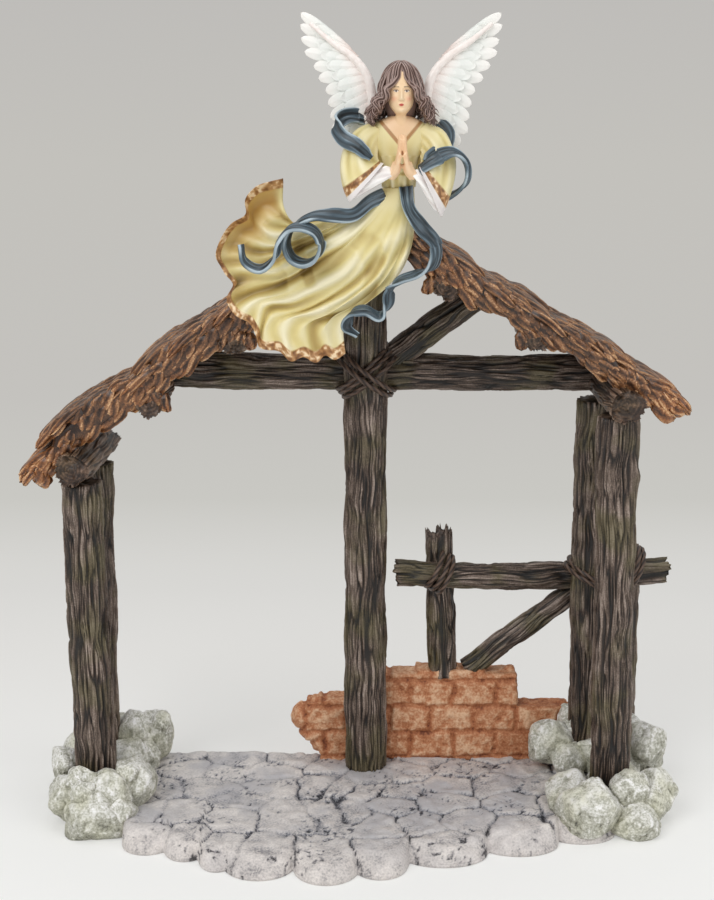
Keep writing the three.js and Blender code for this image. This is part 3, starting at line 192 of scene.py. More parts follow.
def round_blank(around, along, rings=3):
    """A unit cylinder with capped ends. Returns its mesh, and each vertex's turn, share along and reach."""
    key = (around, along, rings)
    if key in blanks:
        return blanks[key]
    bpy.ops.object.select_all(action="DESELECT")
    bpy.ops.mesh.primitive_cylinder_add(vertices=around, radius=1, depth=1, end_fill_type="NGON")
    piece = bpy.context.object
    bpy.ops.object.mode_set(mode="EDIT")
    bpy.ops.mesh.select_mode(type="FACE")
    bpy.ops.mesh.select_all(action="DESELECT")
    mesh = bmesh.from_edit_mesh(piece.data)
    for face in mesh.faces:
        face.select = abs(face.normal.z) > 0.5
    bmesh.update_edit_mesh(piece.data)
    for _ in range(rings):
        bpy.ops.mesh.inset(thickness=0.86 / rings, use_even_offset=False)
    bpy.ops.mesh.poke()
    bpy.ops.object.mode_set(mode="OBJECT")
    cut_edges(piece, lambda a, b: abs(a.z - b.z) > 0.5, along - 1)
    mesh = piece.data
    points = read(mesh)
    bpy.data.objects.remove(piece)
    reach = np.hypot(points[:, 0], points[:, 1])
    turn = np.arctan2(points[:, 1], points[:, 0])
    blanks[key] = (mesh, turn, points[:, 2] + 0.5, np.where(reach > 0.995, 1.0, reach))
    return blanks[key]


def sheet_blank(steps_u, steps_v):
    """A unit slab of two sheets. Returns its mesh and each vertex's u, v and height, 0.5 on its rim."""
    key = ("sheet", steps_u, steps_v)
    if key in blanks:
        return blanks[key]
    bpy.ops.object.select_all(action="DESELECT")
    bpy.ops.mesh.primitive_grid_add(x_subdivisions=steps_u, y_subdivisions=steps_v, size=1)
    piece = bpy.context.object
    bpy.ops.object.mode_set(mode="EDIT")
    bpy.ops.mesh.select_all(action="SELECT")
    bpy.ops.mesh.extrude_region_move(TRANSFORM_OT_translate={"value": (0, 0, 1)})
    bpy.ops.object.mode_set(mode="OBJECT")
    cut_edges(piece, lambda a, b: abs(a.z - b.z) > 0.5, 1)
    mesh = piece.data
    points = read(mesh)
    bpy.data.objects.remove(piece)
    blanks[key] = (mesh, points[:, 0] + 0.5, points[:, 1] + 0.5, np.round(points[:, 2], 3))
    return blanks[key]


def on_rim(height):
    """Which vertices of a slab lie on the rim between its two sheets."""
    return (height > 0.2) & (height < 0.8)


def curve(rows, measured=3):
    """A smooth curve through rows of numbers, read by shares of its length over the measured columns."""
    rows = np.array(rows, dtype=float)
    chords = np.linalg.norm(np.diff(rows[:, :measured], axis=0), axis=1)
    knots = np.concatenate([[0], np.cumsum(chords**0.5 + 1e-6)])
    padded = np.vstack([2 * rows[0] - rows[1], rows, 2 * rows[-1] - rows[-2]])
    gaps = np.concatenate([[knots[1]], np.diff(knots), [knots[-1] - knots[-2]]])[:, None]
    slopes = np.diff(padded, axis=0) / gaps
    tangents = (slopes[:-1] * gaps[1:] + slopes[1:] * gaps[:-1]) / (gaps[1:] + gaps[:-1])
    fine = []
    share = np.linspace(0, 1, 25)[:-1, None]
    for i in range(len(rows) - 1):
        h = knots[i + 1] - knots[i]
        fine.append(
            (2 * share**3 - 3 * share**2 + 1) * rows[i] + (share**3 - 2 * share**2 + share) * h * tangents[i]
            + (3 * share**2 - 2 * share**3) * rows[i + 1] + (share**3 - share**2) * h * tangents[i + 1]
        )
    fine = np.vstack([*fine, rows[-1:]])
    reached = np.concatenate([[0], np.cumsum(np.linalg.norm(np.diff(fine[:, :measured], axis=0), axis=1))])
    reached /= reached[-1]

    def at(s):
        s = np.asarray(s, dtype=float)
        inside = np.clip(s, 0, 1)
        values = np.stack([np.interp(inside, reached, column) for column in fine.T], axis=-1)
        ends = np.where((s < 0)[..., None], fine[1] - fine[0], fine[-1] - fine[-2])
        step = np.where((s < 0), reached[1], 1 - reached[-2])
        return values + ends * ((s - inside) / step)[..., None]

    return at


def unit(vectors):
    return vectors / np.maximum(np.linalg.norm(vectors, axis=-1, keepdims=True), 1e-9)


def place_piece(name, blank_mesh, points, **paints):
    """Copies a blank's mesh, moves its vertices to points in millimetres, and paints values on them."""
    mesh = blank_mesh.copy()
    mesh.name = name
    write(mesh, points)
    piece = bpy.data.objects.new(name, mesh)
    paint(piece, **paints)
    smooth_faces(mesh)
    bpy.context.scene.collection.objects.link(piece)
    return piece


def face_out(piece):
    """Turns the faces of a closed piece outwards."""
    bpy.ops.object.select_all(action="DESELECT")
    bpy.context.view_layer.objects.active = piece
    piece.select_set(True)
    bpy.ops.object.mode_set(mode="EDIT")
    bpy.ops.mesh.select_all(action="SELECT")
    bpy.ops.mesh.normals_make_consistent(inside=False)
    bpy.ops.object.mode_set(mode="OBJECT")
    return piece


def joined(name, pieces):
    """Joins pieces into the first of them, under one name."""
    bpy.ops.object.select_all(action="DESELECT")
    for piece in pieces:
        piece.select_set(True)
    bpy.context.view_layer.objects.active = pieces[0]
    bpy.ops.object.join()
    piece = bpy.context.object
    piece.name = name
    piece.data.name = name
    return piece


def apply_modifier(piece, kind, **settings):
    bpy.ops.object.select_all(action="DESELECT")
    piece.select_set(True)
    bpy.context.view_layer.objects.active = piece
    modifier = piece.modifiers.new(kind.title(), kind)
    for key, value in settings.items():
        setattr(modifier, key, value)
    bpy.ops.object.modifier_apply(modifier=modifier.name)
    return piece


def dress(piece, slot, material, *nodes):
    """Puts the piece on the CAD body in place of its nodes, with its finish."""
    piece.data.materials.clear()
    piece.data.materials.append(material)
    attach(piece, BODY)
    if nodes:
        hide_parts(*nodes)
    return piece


# Materials

def linear(text):
    """The linear colour of an sRGB hex value."""
    parts = [int(text[i : i + 2], 16) / 255 for i in (1, 3, 5)]
    return (*[p / 12.92 if p <= 0.04045 else ((p + 0.055) / 1.055) ** 2.4 for p in parts], 1.0)


def add(tree, kind, inputs=None, stops=None, **settings):
    """Adds a node with its settings and links. An input is a value, a hex colour or another node's socket."""
    node = tree.nodes.new(kind)
    for key, value in settings.items():
        setattr(node, key, value)
    for key, value in (inputs or {}).items():
        if isinstance(value, bpy.types.NodeSocket):
            tree.links.new(value, node.inputs[key])
        else:
            node.inputs[key].default_value = linear(value) if isinstance(value, str) else value
    if stops:
        elements = node.color_ramp.elements
        while len(elements) < len(stops):
            elements.new(0.5)
        for element, (position, color) in zip(elements, stops):
            element.position = position
            element.color = linear(color)
    return node


CLOUD_MM = 9
RESIN_IOR = 1.5


def painted_resin(
    name, stops, roughness, uneven,
    grain_mm=0.5, grain_depth_mm=0.08, grain_paint=0.0, wash=None, layers=(),
):
    """Cast polyester resin, brushed with acrylics: dark wash in the low places, dry brush on the high. On the
    cloth, skin, feathers and boulders the relief also carries painted light and shade.

    A wash is a colour in patches of a size in millimetres. A layer is other colours where its paint is."""
    material = bpy.data.materials.new(name)
    material.use_nodes = True
    tree = material.node_tree
    tree.nodes.clear()
    place = add(tree, "ShaderNodeTexCoord").outputs["Object"]
    relief = add(tree, "ShaderNodeAttribute", attribute_name="relief").outputs["Fac"]
    cloud = speckle(tree, place, CLOUD_MM, 4.0)
    share = varied(tree, relief, cloud, uneven)
    grain = speckle(tree, place, grain_mm, 3.0)
    if grain_paint:
        share = varied(tree, share, grain, grain_paint)
    color = add(tree, "ShaderNodeValToRGB", {"Fac": share}, stops=stops).outputs["Color"]
    if wash:
        wash_color, size_mm, amount = wash
        patch = speckle(tree, place, size_mm, 3.0)
        where = add(tree, "ShaderNodeMapRange", {"Value": patch, 1: 0.48, 2: 0.64, 3: 0.0, 4: amount})
        thin = {0: where.outputs[0], 1: share}
        thin = add(tree, "ShaderNodeMath", thin, operation="MULTIPLY", use_clamp=True)
        color = blend(tree, thin.outputs[0], color, wash_color)
    for layer_name, layer_stops in layers:
        where = add(tree, "ShaderNodeAttribute", attribute_name=layer_name).outputs["Fac"]
        layer = add(tree, "ShaderNodeValToRGB", {"Fac": share}, stops=layer_stops).outputs["Color"]
        color = blend(tree, where, color, layer)
    rough = {"Height": grain, "Distance": grain_depth_mm * MM, "Strength": 1.0}
    normal = add(tree, "ShaderNodeBump", rough).outputs["Normal"]
    surface = {"Base Color": color, "Roughness": roughness, "IOR": RESIN_IOR, "Normal": normal}
    shader = add(tree, "ShaderNodeBsdfPrincipled", surface)
    add(tree, "ShaderNodeOutputMaterial", {"Surface": shader.outputs[0]})
    return material


def speckle(tree, place, size_mm, detail):
    """Noise with one patch to each size."""
    wanted = {"Vector": place, "Scale": 1 / (size_mm * MM), "Detail": detail}
    return add(tree, "ShaderNodeTexNoise", wanted).outputs["Fac"]


def varied(tree, value, noise_value, amount):
    """A value made higher and lower by noise that lies around a half."""
    shift = add(tree, "ShaderNodeMath", {0: noise_value, 1: 0.5}, operation="SUBTRACT").outputs[0]
    terms = {0: shift, 1: amount, 2: value}
    return add(tree, "ShaderNodeMath", terms, operation="MULTIPLY_ADD").outputs[0]


def blend(tree, share, under, over):
    """A colour over another. The mix's sockets are picked by number, because others share their names."""
    node = add(tree, "ShaderNodeMix", data_type="RGBA")
    tree.links.new(share, node.inputs[0])
    for index, color in ((6, under), (7, over)):
        if isinstance(color, str):
            node.inputs[index].default_value = linear(color)
        else:
            tree.links.new(color, node.inputs[index])
    return node.outputs[2]


finishes = {}


def finish(name):
    """The finish of that name, made once."""
    if name not in finishes:
        finishes[name] = painted_resin(name, **FINISHES[name])
    return finishes[name]


FINISHES = {
    # Brown-black in the furrows, pink-brown dry brush on the ridges, olive moss in patches. Satin.
    "bark_painted_resin": {
        "stops": [
            (0.0, "#0a0706"), (0.26, "#231a15"), (0.52, "#46372d"), (0.78, "#75655a"), (1.0, "#a7978c"),
        ],
        "roughness": 0.46,
        "grain_mm": 0.8,
        "grain_paint": 0.7,
        "uneven": 0.2,
        "wash": ("#5d5a2c", 26, 0.6),
        "layers": [("sawn", [(0.0, "#120a07"), (0.45, "#432e22"), (1.0, "#8f6d54")])],
    },
    # Brown straw with orange-tan tips, glossier than the bark.
    "thatch_painted_resin": {
        "stops": [(0.0, "#080504"), (0.3, "#2b1c14"), (0.6, "#61442f"), (0.82, "#976a46"), (1.0, "#d5ab81")],
        "roughness": 0.34,
        "grain_mm": 0.9,
        "grain_paint": 0.8,
        "uneven": 0.3,
        "layers": [("tips", [(0.0, "#120905"), (0.32, "#4f2e1a"), (0.68, "#a0663b"), (1.0, "#f3c795")])],
    },
    # Warm grey stone with a blue-grey wash, dark in the joints. Matt.
    "paving_painted_resin": {
        "stops": [(0.0, "#34343a"), (0.2, "#8f8f95"), (0.45, "#cdc8c6"), (0.9, "#efe9e4")],
        "roughness": 0.6,
        "grain_mm": 1.4,
        "grain_depth_mm": 0.35,
        "grain_paint": 0.9,
        "uneven": 0.45,
        "wash": ("#979aa6", 34, 0.7),
        "layers": [("edge", [(0.0, "#544f4e"), (0.35, "#c9c1bc"), (0.8, "#f7efe9")])],
    },
    # Grey-green stone, dry-brushed white on its edges, with painted light on its tops. Satin.
    "boulder_painted_resin": {
        "stops": [
            (0.0, "#56554b"), (0.28, "#9b9a8b"), (0.5, "#bab9ac"), (0.72, "#e2e1da"), (1.0, "#fdfcfb"),
        ],
        "roughness": 0.48,
        "grain_mm": 1.3,
        "grain_depth_mm": 0.45,
        "grain_paint": 1.0,
        "uneven": 0.45,
        "wash": ("#d2d0ab", 22, 0.5),
    },
    # Terracotta with darker joints and pale scuffed edges. Matt.
    "brick_painted_resin": {
        "stops": [(0.0, "#6d371f"), (0.25, "#a3623c"), (0.55, "#bf8058"), (0.95, "#e6bd99")],
        "roughness": 0.68,
        "grain_mm": 1.5,
        "grain_depth_mm": 0.5,
        "grain_paint": 1.0,
        "uneven": 0.25,
    },
    # Pale yellow cloth, with painted shade in ochre in its folds and hollows, bronze-gold hems and a golden
    # lining. Satin.
    "gown_painted_resin": {
        "stops": [(0.0, "#7d6431"), (0.26, "#bfa664"), (0.55, "#e4d596"), (0.9, "#f6edc8")],
        "roughness": 0.36,
        "grain_depth_mm": 0.03,
        "uneven": 0.12,
        "layers": [
            ("inner", [(0.0, "#6b4519"), (0.45, "#b0853a"), (0.9, "#e0c078")]),
            ("trim", [(0.0, "#4d2d16"), (0.4, "#8c5f35"), (0.7, "#bd8d5b"), (0.95, "#f6dcb4")]),
            ("bare", [(0.0, "#c08a60"), (0.5, "#eec59a"), (0.8, "#f6d9b4")]),
            ("lining", [(0.0, "#a89c9a"), (0.4, "#ded5d3"), (0.8, "#f8f4f2")]),
        ],
    },
    # White cloth, with painted shade in grey-pink in its folds. Satin.
    "linen_painted_resin": {
        "stops": [(0.0, "#a89a96"), (0.4, "#e0d7d4"), (0.8, "#fbf8f5")],
        "roughness": 0.4,
        "grain_depth_mm": 0.02,
        "uneven": 0.1,
    },
    # Light skin, with painted shade under the chin and between the fingers, blushed cheeks, and painted lips,
    # eyes and brows. Soft sheen.
    "skin_painted_resin": {
        "stops": [(0.0, "#b57f55"), (0.4, "#e6b98c"), (0.7, "#f3cfa4"), (1.0, "#f9dfba")],
        "roughness": 0.34,
        "grain_depth_mm": 0.01,
        "uneven": 0.05,
        "layers": [
            ("blush", [(0.0, "#e3946f"), (1.0, "#eda584")]),
            ("lips", [(0.0, "#a5352f"), (1.0, "#c95448")]),
            ("whites", [(0.0, "#efe6da"), (1.0, "#f7f1e8")]),
            ("brows", [(0.0, "#3f2a20"), (1.0, "#5d4031")]),
        ],
    },
    # Dark brown hair with mauve-grey light on its waves. Satin.
    "hair_painted_resin": {
        "stops": [(0.0, "#1f120d"), (0.38, "#543b31"), (0.68, "#987e75"), (1.0, "#cdbbb6")],
        "roughness": 0.42,
        "grain_depth_mm": 0.03,
        "uneven": 0.2,
    },
    # Pearl white feathers, grey where shade is painted at their roots and edges, rosy towards the bone and
    # blue-green between. Satin.
    "feather_painted_resin": {
        "stops": [(0.0, "#a59c97"), (0.35, "#ded8d2"), (0.7, "#f8f5f0")],
        "roughness": 0.36,
        "grain_depth_mm": 0.02,
        "uneven": 0.1,
        "layers": [
            ("rose", [(0.0, "#c9a79c"), (0.5, "#efdcd4"), (1.0, "#faf2ed")]),
            ("teal", [(0.0, "#a9b8b2"), (0.5, "#dbe6e1"), (1.0, "#f2f7f3")]),
        ],
    },
    # Slate blue cloth with pale edges and dark hollows. Satin.
    "sash_painted_resin": {
        "stops": [(0.0, "#1a2023"), (0.35, "#3d4a52"), (0.65, "#5d6f7b"), (1.0, "#b9c9d1")],
        "roughness": 0.34,
        "grain_depth_mm": 0.03,
        "uneven": 0.25,
    },
    # Dark brown cord with lighter strands. Satin.
    "rope_painted_resin": {
        "stops": [(0.0, "#0f0a08"), (0.4, "#2f241e"), (0.9, "#6b5547")],
        "roughness": 0.5,
        "uneven": 0.45,
    },
}


# Shapes that many pieces share

def frame_of(axis):
    """Two directions across an axis."""
    axis = axis / np.linalg.norm(axis)
    helper = np.array((0.0, 1.0, 0.0)) if abs(axis[1]) < 0.9 else np.array((1.0, 0.0, 0.0))
    side = np.cross(helper, axis)
    side /= np.linalg.norm(side)
    return side, np.cross(axis, side)


def rolled(turn, radius, along):
    """Places on a cylinder, for noise that closes round it."""
    return np.stack([np.cos(turn) * radius, np.sin(turn) * radius, along], -1)


FURROW_WIDTH = 1.5
FURROW_LENGTH = 26.0


def bark_relief(turn, radius, along, seed):
    """How high the bark stands, from 0 in a furrow to 1 on a ridge. The furrows wander along the log."""
    sway = 6 * (fractal(rolled(turn, 1, along / 24 + seed), seed, 2) - 0.5)
    place = rolled(turn + sway / radius, radius / FURROW_WIDTH, along / FURROW_LENGTH)
    furrows = smoothstep(0.0, 0.17, np.abs(noise(place + seed, seed) - 0.5))
    splits = smoothstep(0.0, 0.3, np.abs(noise(place * np.array((1.9, 1.9, 1.6)) + seed, seed + 3) - 0.5))
    flakes = noise(place * np.array((1.3, 1.3, 4.5)) - seed, seed + 7)
    swell = noise(place * np.array((0.3, 0.3, 0.7)) - seed, seed + 9)
    return np.clip(furrows * (0.4 + 0.3 * splits + 0.18 * flakes) + 0.4 * (swell - 0.35), 0, 1)


# Mesh steps on a log, and how far in from its ends the bark splinters
BARK_STEP_AROUND = 0.5
BARK_STEP_ALONG = 1.6
SPLINTER_LENGTH = 8.0


def log(
    name, start, end, radius, end_radius, seed,
    bow=(0, 0, 0), ragged=(0.6, 0.6), depth=2.4, lumps=1.6, knots=(), worn=0.0,
):
    """A log with furrowed bark between two places. A knot is its share along, turn, size and height.

    Ragged is how far each end splinters, and worn is how much of the bark is rubbed to bare wood."""
    start, end, bow = (np.array(v, dtype=float) for v in (start, end, bow))
    length = np.linalg.norm(end - start)
    around = int(round(2 * math.pi * max(radius, end_radius) / BARK_STEP_AROUND))
    cap_rings = 12 if worn else 4
    mesh, turn, share, reach = round_blank(around, max(8, int(length / BARK_STEP_ALONG)), cap_rings)
    axis = (end - start) / length
    side, up = frame_of(end - start)
    base = mix(radius, end_radius, share)
    along = share * length
    relief = bark_relief(turn, radius, along, seed)
    swell = fractal(rolled(turn, 0.8, along / 26) + seed, seed + 11, 2) - 0.5
    even = base + 2 * lumps * swell
    out = even + depth * (relief - 0.62)
    for knot_share, knot_turn, size, height in knots:
        aside = np.angle(np.exp(1j * (turn - knot_turn))) * base
        gap = np.hypot((share - knot_share) * length, aside) / size
        out += height * (bell(gap) - 0.6 * bell(2.6 * gap))

    cap = reach < 1
    out = np.where(cap, mix(even, out, reach**6), out)
    inner = np.clip((1 - reach) * 6, 0, 1)
    end_grain = rolled(turn, reach * 4, share * 9 + seed)
    rings = 0.25 * np.sin(reach * base * 2.6 + 12 * swell) + 1.6 * (fractal(end_grain, seed) - 0.5)
    dents = fractal(end_grain / 2.2, seed + 13, 2) - 0.5
    tooth = noise(rolled(turn, 2.2, share + seed), seed + 5) + 0.5 * relief
    outward = np.where(share < 0.5, -ragged[0], ragged[1])
    splinter = outward * (tooth - 0.6) * 2
    on_bark = splinter * np.clip(1 - np.minimum(share, 1 - share) * length / SPLINTER_LENGTH, 0, 1)
    on_cap = splinter * reach**14 + inner * (2.5 * outward * dents + np.sign(outward) * rings)

    centre = start + (end - start) * share[:, None] + bow * np.sin(np.pi * share)[:, None]
    radial = np.cos(turn)[:, None] * side + np.sin(turn)[:, None] * up
    points = centre + radial * (out * reach)[:, None] + axis * np.where(cap, on_cap, on_bark)[:, None]
    relief = np.where(cap, np.clip(0.45 + 0.5 * rings, 0, 1), relief)
    sawn = np.maximum(np.where(cap, 0.3 * inner, 0.0), worn)
    return place_piece(name, mesh, points, relief=relief, sawn=sawn)


# Sizes and light that a user may change

class StageSettings(bpy.types.PropertyGroup):
    camera_distance: bpy.props.FloatProperty(
        name="Camera Distance", description="How far the camera stands in front of the origin",
        default=1.040, min=0.3, unit="LENGTH",
    )
    camera_height: bpy.props.FloatProperty(
        name="Camera Height", description="How high the camera stands", default=0.520, unit="LENGTH",
    )
    camera_tilt: bpy.props.FloatProperty(
        name="Camera Tilt", description="How far the camera looks down",
        default=math.radians(14.0), subtype="ANGLE",
    )
    key_power: bpy.props.FloatProperty(
        name="Key Light", description="Power of the large light at the front left",
        default=17.0, min=0.0, unit="POWER",
    )


class StableSettings(bpy.types.PropertyGroup):
    bark_depth: bpy.props.FloatProperty(
        name="Bark Depth", description="From a furrow of the bark to its ridge",
        default=0.0024, min=0.0, unit="LENGTH",
    )
    post_radius: bpy.props.FloatProperty(
        name="Post Radius", description="Radius of a corner post", default=0.0132, min=0.002, unit="LENGTH",
    )


# The stable's frame

POST_FOOT = 12.0
FRONT_POSTS_Y = -5.0
BACK_POSTS_Y = 46.0
LEFT_HEAD = 240.0
RIGHT_HEAD = 285.0
RIDGE_HEAD = 402.0

# Knots by post: share along, turn, size and height
KNOTS = {
    "left_front_post": ((0.33, -1.2, 5, 1.5), (0.7, -2.2, 6, 1.8)),
    "right_front_post": ((0.5, -1.0, 6, 2), (0.85, -0.4, 5, 2)),
    "right_back_post": ((0.6, -2.6, 5, 2),),
    "center_post": ((0.2, -1.6, 6, 1.6), (0.52, -2.2, 5, 1.8)),
}

# Where each purlin lies along X, and how far its middle is under the thatch
PURLINS = {
    "left_lower_purlin": -136,
    "left_upper_purlin": -80,
    "right_upper_purlin": 57,
    "right_lower_purlin": 117,
}
PURLIN_DROP = 5.5

# How much bark is rubbed off the plates and the purlins
WORN = 0.65


def under_thatch(x):
    """The height of the thatch's underside at a place along X."""
    side = -1 if x < RIDGE[0] else 1
    return RIDGE[1] - abs(x - RIDGE[0]) * math.tan(PITCHES[side])


class CRECHE_OT_frame(bpy.types.Operator):
    """Models the posts, plates, purlins, tie beam and brace as logs with furrowed bark"""

    bl_idname = "creche.frame"
    bl_label = "Log Frame"

    def execute(self, context):
        settings = context.scene.creche_stable
        depth = settings.bark_depth / MM
        radius = settings.post_radius / MM
        bark = finish("bark_painted_resin")

        # Foot and head of each post along X, its Y, the height of its head, radius and seed
        posts = {
            "left_front_post": (-181, -184, FRONT_POSTS_Y, LEFT_HEAD, radius, 1),
            "left_back_post": (-187, -183, BACK_POSTS_Y, LEFT_HEAD, radius, 3),
            "right_front_post": (176, 172, FRONT_POSTS_Y, RIGHT_HEAD, radius, 6),
            "right_back_post": (166, 165, BACK_POSTS_Y, RIGHT_HEAD, radius, 8),
            "center_post": (6, 6, BACK_POSTS_Y + 1, RIDGE_HEAD, 14.2, 4),
        }
        for name, (foot_x, head_x, y, top, size, seed) in posts.items():
            foot, head = (foot_x, y, POST_FOOT), (head_x, y, top)
            knots = KNOTS.get(name, ())
            piece = log(name + "_bark", foot, head, size + 0.3, size, seed, depth=depth, knots=knots)
            dress(piece, "bark", bark, name)

        # Front and back end of each log that runs to the back, its radius, seed and raggedness
        across = {
            "left_wall_plate": ((-187, -22.5, 252.5), (-179, 68, 252.5), 11, 2, 3),
            "right_wall_plate": ((174, -22.5, 296), (170, 66, 296), 11, 5, 3),
        }
        for seed, (name, x) in enumerate(PURLINS.items(), start=10):
            z = under_thatch(x) - PURLIN_DROP
            across[name] = ((x, -12.5, z), (x, 66, z), 8.8, seed, 2)
        for name, (front, back, size, seed, ragged) in across.items():
            piece = log(
                name + "_bark", front, back, size, size, seed,
                ragged=(ragged, ragged), depth=depth, lumps=3.2, worn=WORN,
            )
            dress(piece, "bark", bark, name)

        beam = log(
            "tie_beam_bark", (-132, 57, 304), (164, 57, 302), 12.2, 12.2, 7,
            bow=(0, 0, -1), depth=depth, lumps=1.4,
        )
        dress(beam, "bark", bark, "tie_beam")
        brace = log("gable_brace_bark", (14, 55, 306), (89, 50, 362), 9.6, 9.2, 9, depth=depth)
        dress(brace, "bark", bark, "gable_brace")
        return {"FINISHED"}


class CRECHE_OT_fence(bpy.types.Operator):
    """Models the fence's two posts, rail and brace"""

    bl_idname = "creche.fence"
    bl_label = "Fence"

    def execute(self, context):
        logs = {
            "fence_post": ((63, 64.5, 76), (59, 64.5, 183), 9.8, 9.2, 21, (0, 0, 0), (0, 6)),
            "fence_end_post": ((194, 67.5, 12), (192, 67.5, 171), 11.4, 10.4, 22, (0, 0, 0), (0, 3)),
            "fence_rail": ((29, 53, 157), (221, 63, 156), 9.2, 8.8, 23, (0, 0, -3), (3, 2)),
            "fence_brace": ((80, 64.5, 80), (158, 64.5, 142), 8.2, 8.0, 24, (0, 0, 0), (0, 0)),
        }
        for name, (start, end, radius, end_radius, seed, bow, ragged) in logs.items():
            piece = log(
                name + "_bark", start, end, radius, end_radius, seed, bow, ragged, depth=2.2, lumps=2.0,
            )
            dress(piece, "bark", finish("bark_painted_resin"), name)
        return {"FINISHED"}


# Ground

# Front stones that bulge past the paving: middle X, middle Y, half length and half width
FRONT_STONES = [
    (-141, -50, 17, 17), (-114, -57, 15, 19), (-92, -69, 13, 21), (-64, -77, 24, 24), (-20, -82, 22, 25),
    (15, -77, 19, 23), (57, -62, 30, 22), (108, -48, 28, 21), (152, -34, 24, 18),
]

# Middles of the flagstones behind them
FLAGSTONES = [
    (-149, -28), (-119, -28), (-89, -39), (-47, -36), (-139, 10), (-105, 8), (-82, -8), (-58, 10),
    (-24, 13), (-122, 42), (-93, 34), (-61, 34), (-137, 61), (-89, 56), (-43, 58), (-23, 49),
    (-16, -28), (15, -51), (45, -47), (74, -41), (-10, -28), (26, -15), (59, -15), (112, -15),
    (143, -17), (7, 2), (29, 0), (65, 13), (99, 13), (133, 13), (9, 21), (36, 31), (73, 39), (119, 41),
    (-13, 10), (-178, 10), (-180, 46), (168, 12), (165, 44), (190, 20), (52, 64), (100, 66), (150, 64),
    (-4, 66), (-160, -5),
]

PAVING_LEFT = -196.0
PAVING_RIGHT = 204.0
PAVING_BACK = 72.0


def paving_front(x):
    """How far forward the paving reaches at places along its length."""
    reach = np.full(np.shape(x), -20.0)
    for middle, y, half_length, half_width in FRONT_STONES:
        offset = (x - middle) / half_length
        bulge = y - half_width * np.sqrt(np.clip(1 - offset**2, 0, 1)) ** 0.9
        reach = np.where(np.abs(offset) < 1, np.minimum(reach, bulge), reach)
    ends = -62 + 0.00012 * np.abs(x) ** 2.45
    return np.minimum(reach, np.minimum(-6, ends))


def paving_back(x):
    corner = 10 * smoothstep(175, 210, np.abs(x)) + 22 * smoothstep(196, 216, np.abs(x))
    return PAVING_BACK + 1.2 * np.sin(x / 19) - corner


def stone_relief(x, y):
    """Height of the paving over its joints in millimetres, and how light each place of it is painted."""
    place = np.stack([x, y, np.zeros_like(x)], -1)
    warp_x = 11 * (fractal(place / 15, 31, 3) - 0.5)
    warp_y = 11 * (fractal(place / 15, 32, 3) - 0.5)
    middles = np.array(FLAGSTONES + [(a, b - 6) for a, b, _, _ in FRONT_STONES], dtype=float)
    away = np.hypot((x + warp_x)[:, None] - middles[:, 0], ((y + warp_y)[:, None] - middles[:, 1]) * 1.15)
    order = np.partition(away, 1, axis=1)
    which = np.argmin(away, axis=1)
    joint = order[:, 1] - order[:, 0]
    seed = which[:, None] * np.array((3.1, 7.7, 1.3))
    tilt = np.stack([lattice(seed, 1) - 0.5, lattice(seed, 2) - 0.5], -1)
    lean = ((x - middles[which, 0]) * tilt[:, 0] + (y - middles[which, 1]) * tilt[:, 1]) * 0.05
    split = smoothstep(0.42, 0.6, noise(place / 19, 35))
    crack = (1 - smoothstep(0.3, 1.9, joint)) * (0.12 + 0.88 * split)
    groove = 1 - smoothstep(0.0, 6.0, joint)
    pits = smoothstep(0.7, 0.82, noise(place / 1.8, 36)) * smoothstep(0.45, 0.62, noise(place / 15, 37))
    rough = fractal(place / 7, 38, 4) - 0.5
    height = 3.0 * rough + lean - 2.2 * crack - 0.9 * groove - 0.9 * pits + 0.7 * (lattice(seed, 3) - 0.5)
    light = 0.54 + 0.6 * rough - 0.8 * crack - 0.16 * groove - 0.5 * pits + 0.12 * (lattice(seed, 4) - 0.5)
    return height, light


class CRECHE_OT_paving(bpy.types.Operator):
    """Models the paving: worn flagstones with pits and joints, and rounded stones along the front"""

    bl_idname = "creche.paving"
    bl_label = "Paving"

    def execute(self, context):
        mesh, u, v, w = sheet_blank(324, 114)
        x = mix(PAVING_LEFT, PAVING_RIGHT, np.clip(u, 0, 1))
        front, back = paving_front(x), paving_back(x)
        depth = np.clip(v, 0, 1) ** 1.5
        y = mix(front, back, depth)
        height, light = stone_relief(x, y)

        # The stones are rounded off over their last millimetres, most gently along the front
        wander = 2.5 * (noise(np.stack([x, y, y], -1) / 9, 33) - 0.5)
        from_front, from_back = (y - front) * 0.62 + wander, (back - y) * 1.6
        from_left, from_right = (x - PAVING_LEFT) * 1.2, (PAVING_RIGHT - x) * 1.2
        near = np.clip(np.minimum.reduce([from_front, from_back, from_left, from_right]) / 11, 0, 1)
        rounding = 0.5 * np.sqrt(np.clip(1 - (1 - near) ** 2, 0, 1)) + 0.5 * np.sin(np.pi / 2 * near)
        top = 2.5 + (FLOOR_TOP - 3.3 + height) * rounding
        out = np.where(on_rim(w), 1.2, 0.0)
        z = np.where(w > 0.8, top, np.where(w > 0.2, 1.4, 0.0))
        y = np.where(v < 0.001, y - out, np.where(v > 0.999, y + out, y))
        edge = (1 - smoothstep(0, 34, y - front)) * smoothstep(-200, -150, x) * (1 - smoothstep(150, 200, x))
        points = np.stack([x, y, z], -1)
        piece = place_piece("paving_stones", mesh, points, relief=np.clip(light, 0, 1), edge=0.6 * edge)
        dress(face_out(piece), "paving", finish("paving_painted_resin"), "paved_base")
        return {"FINISHED"}


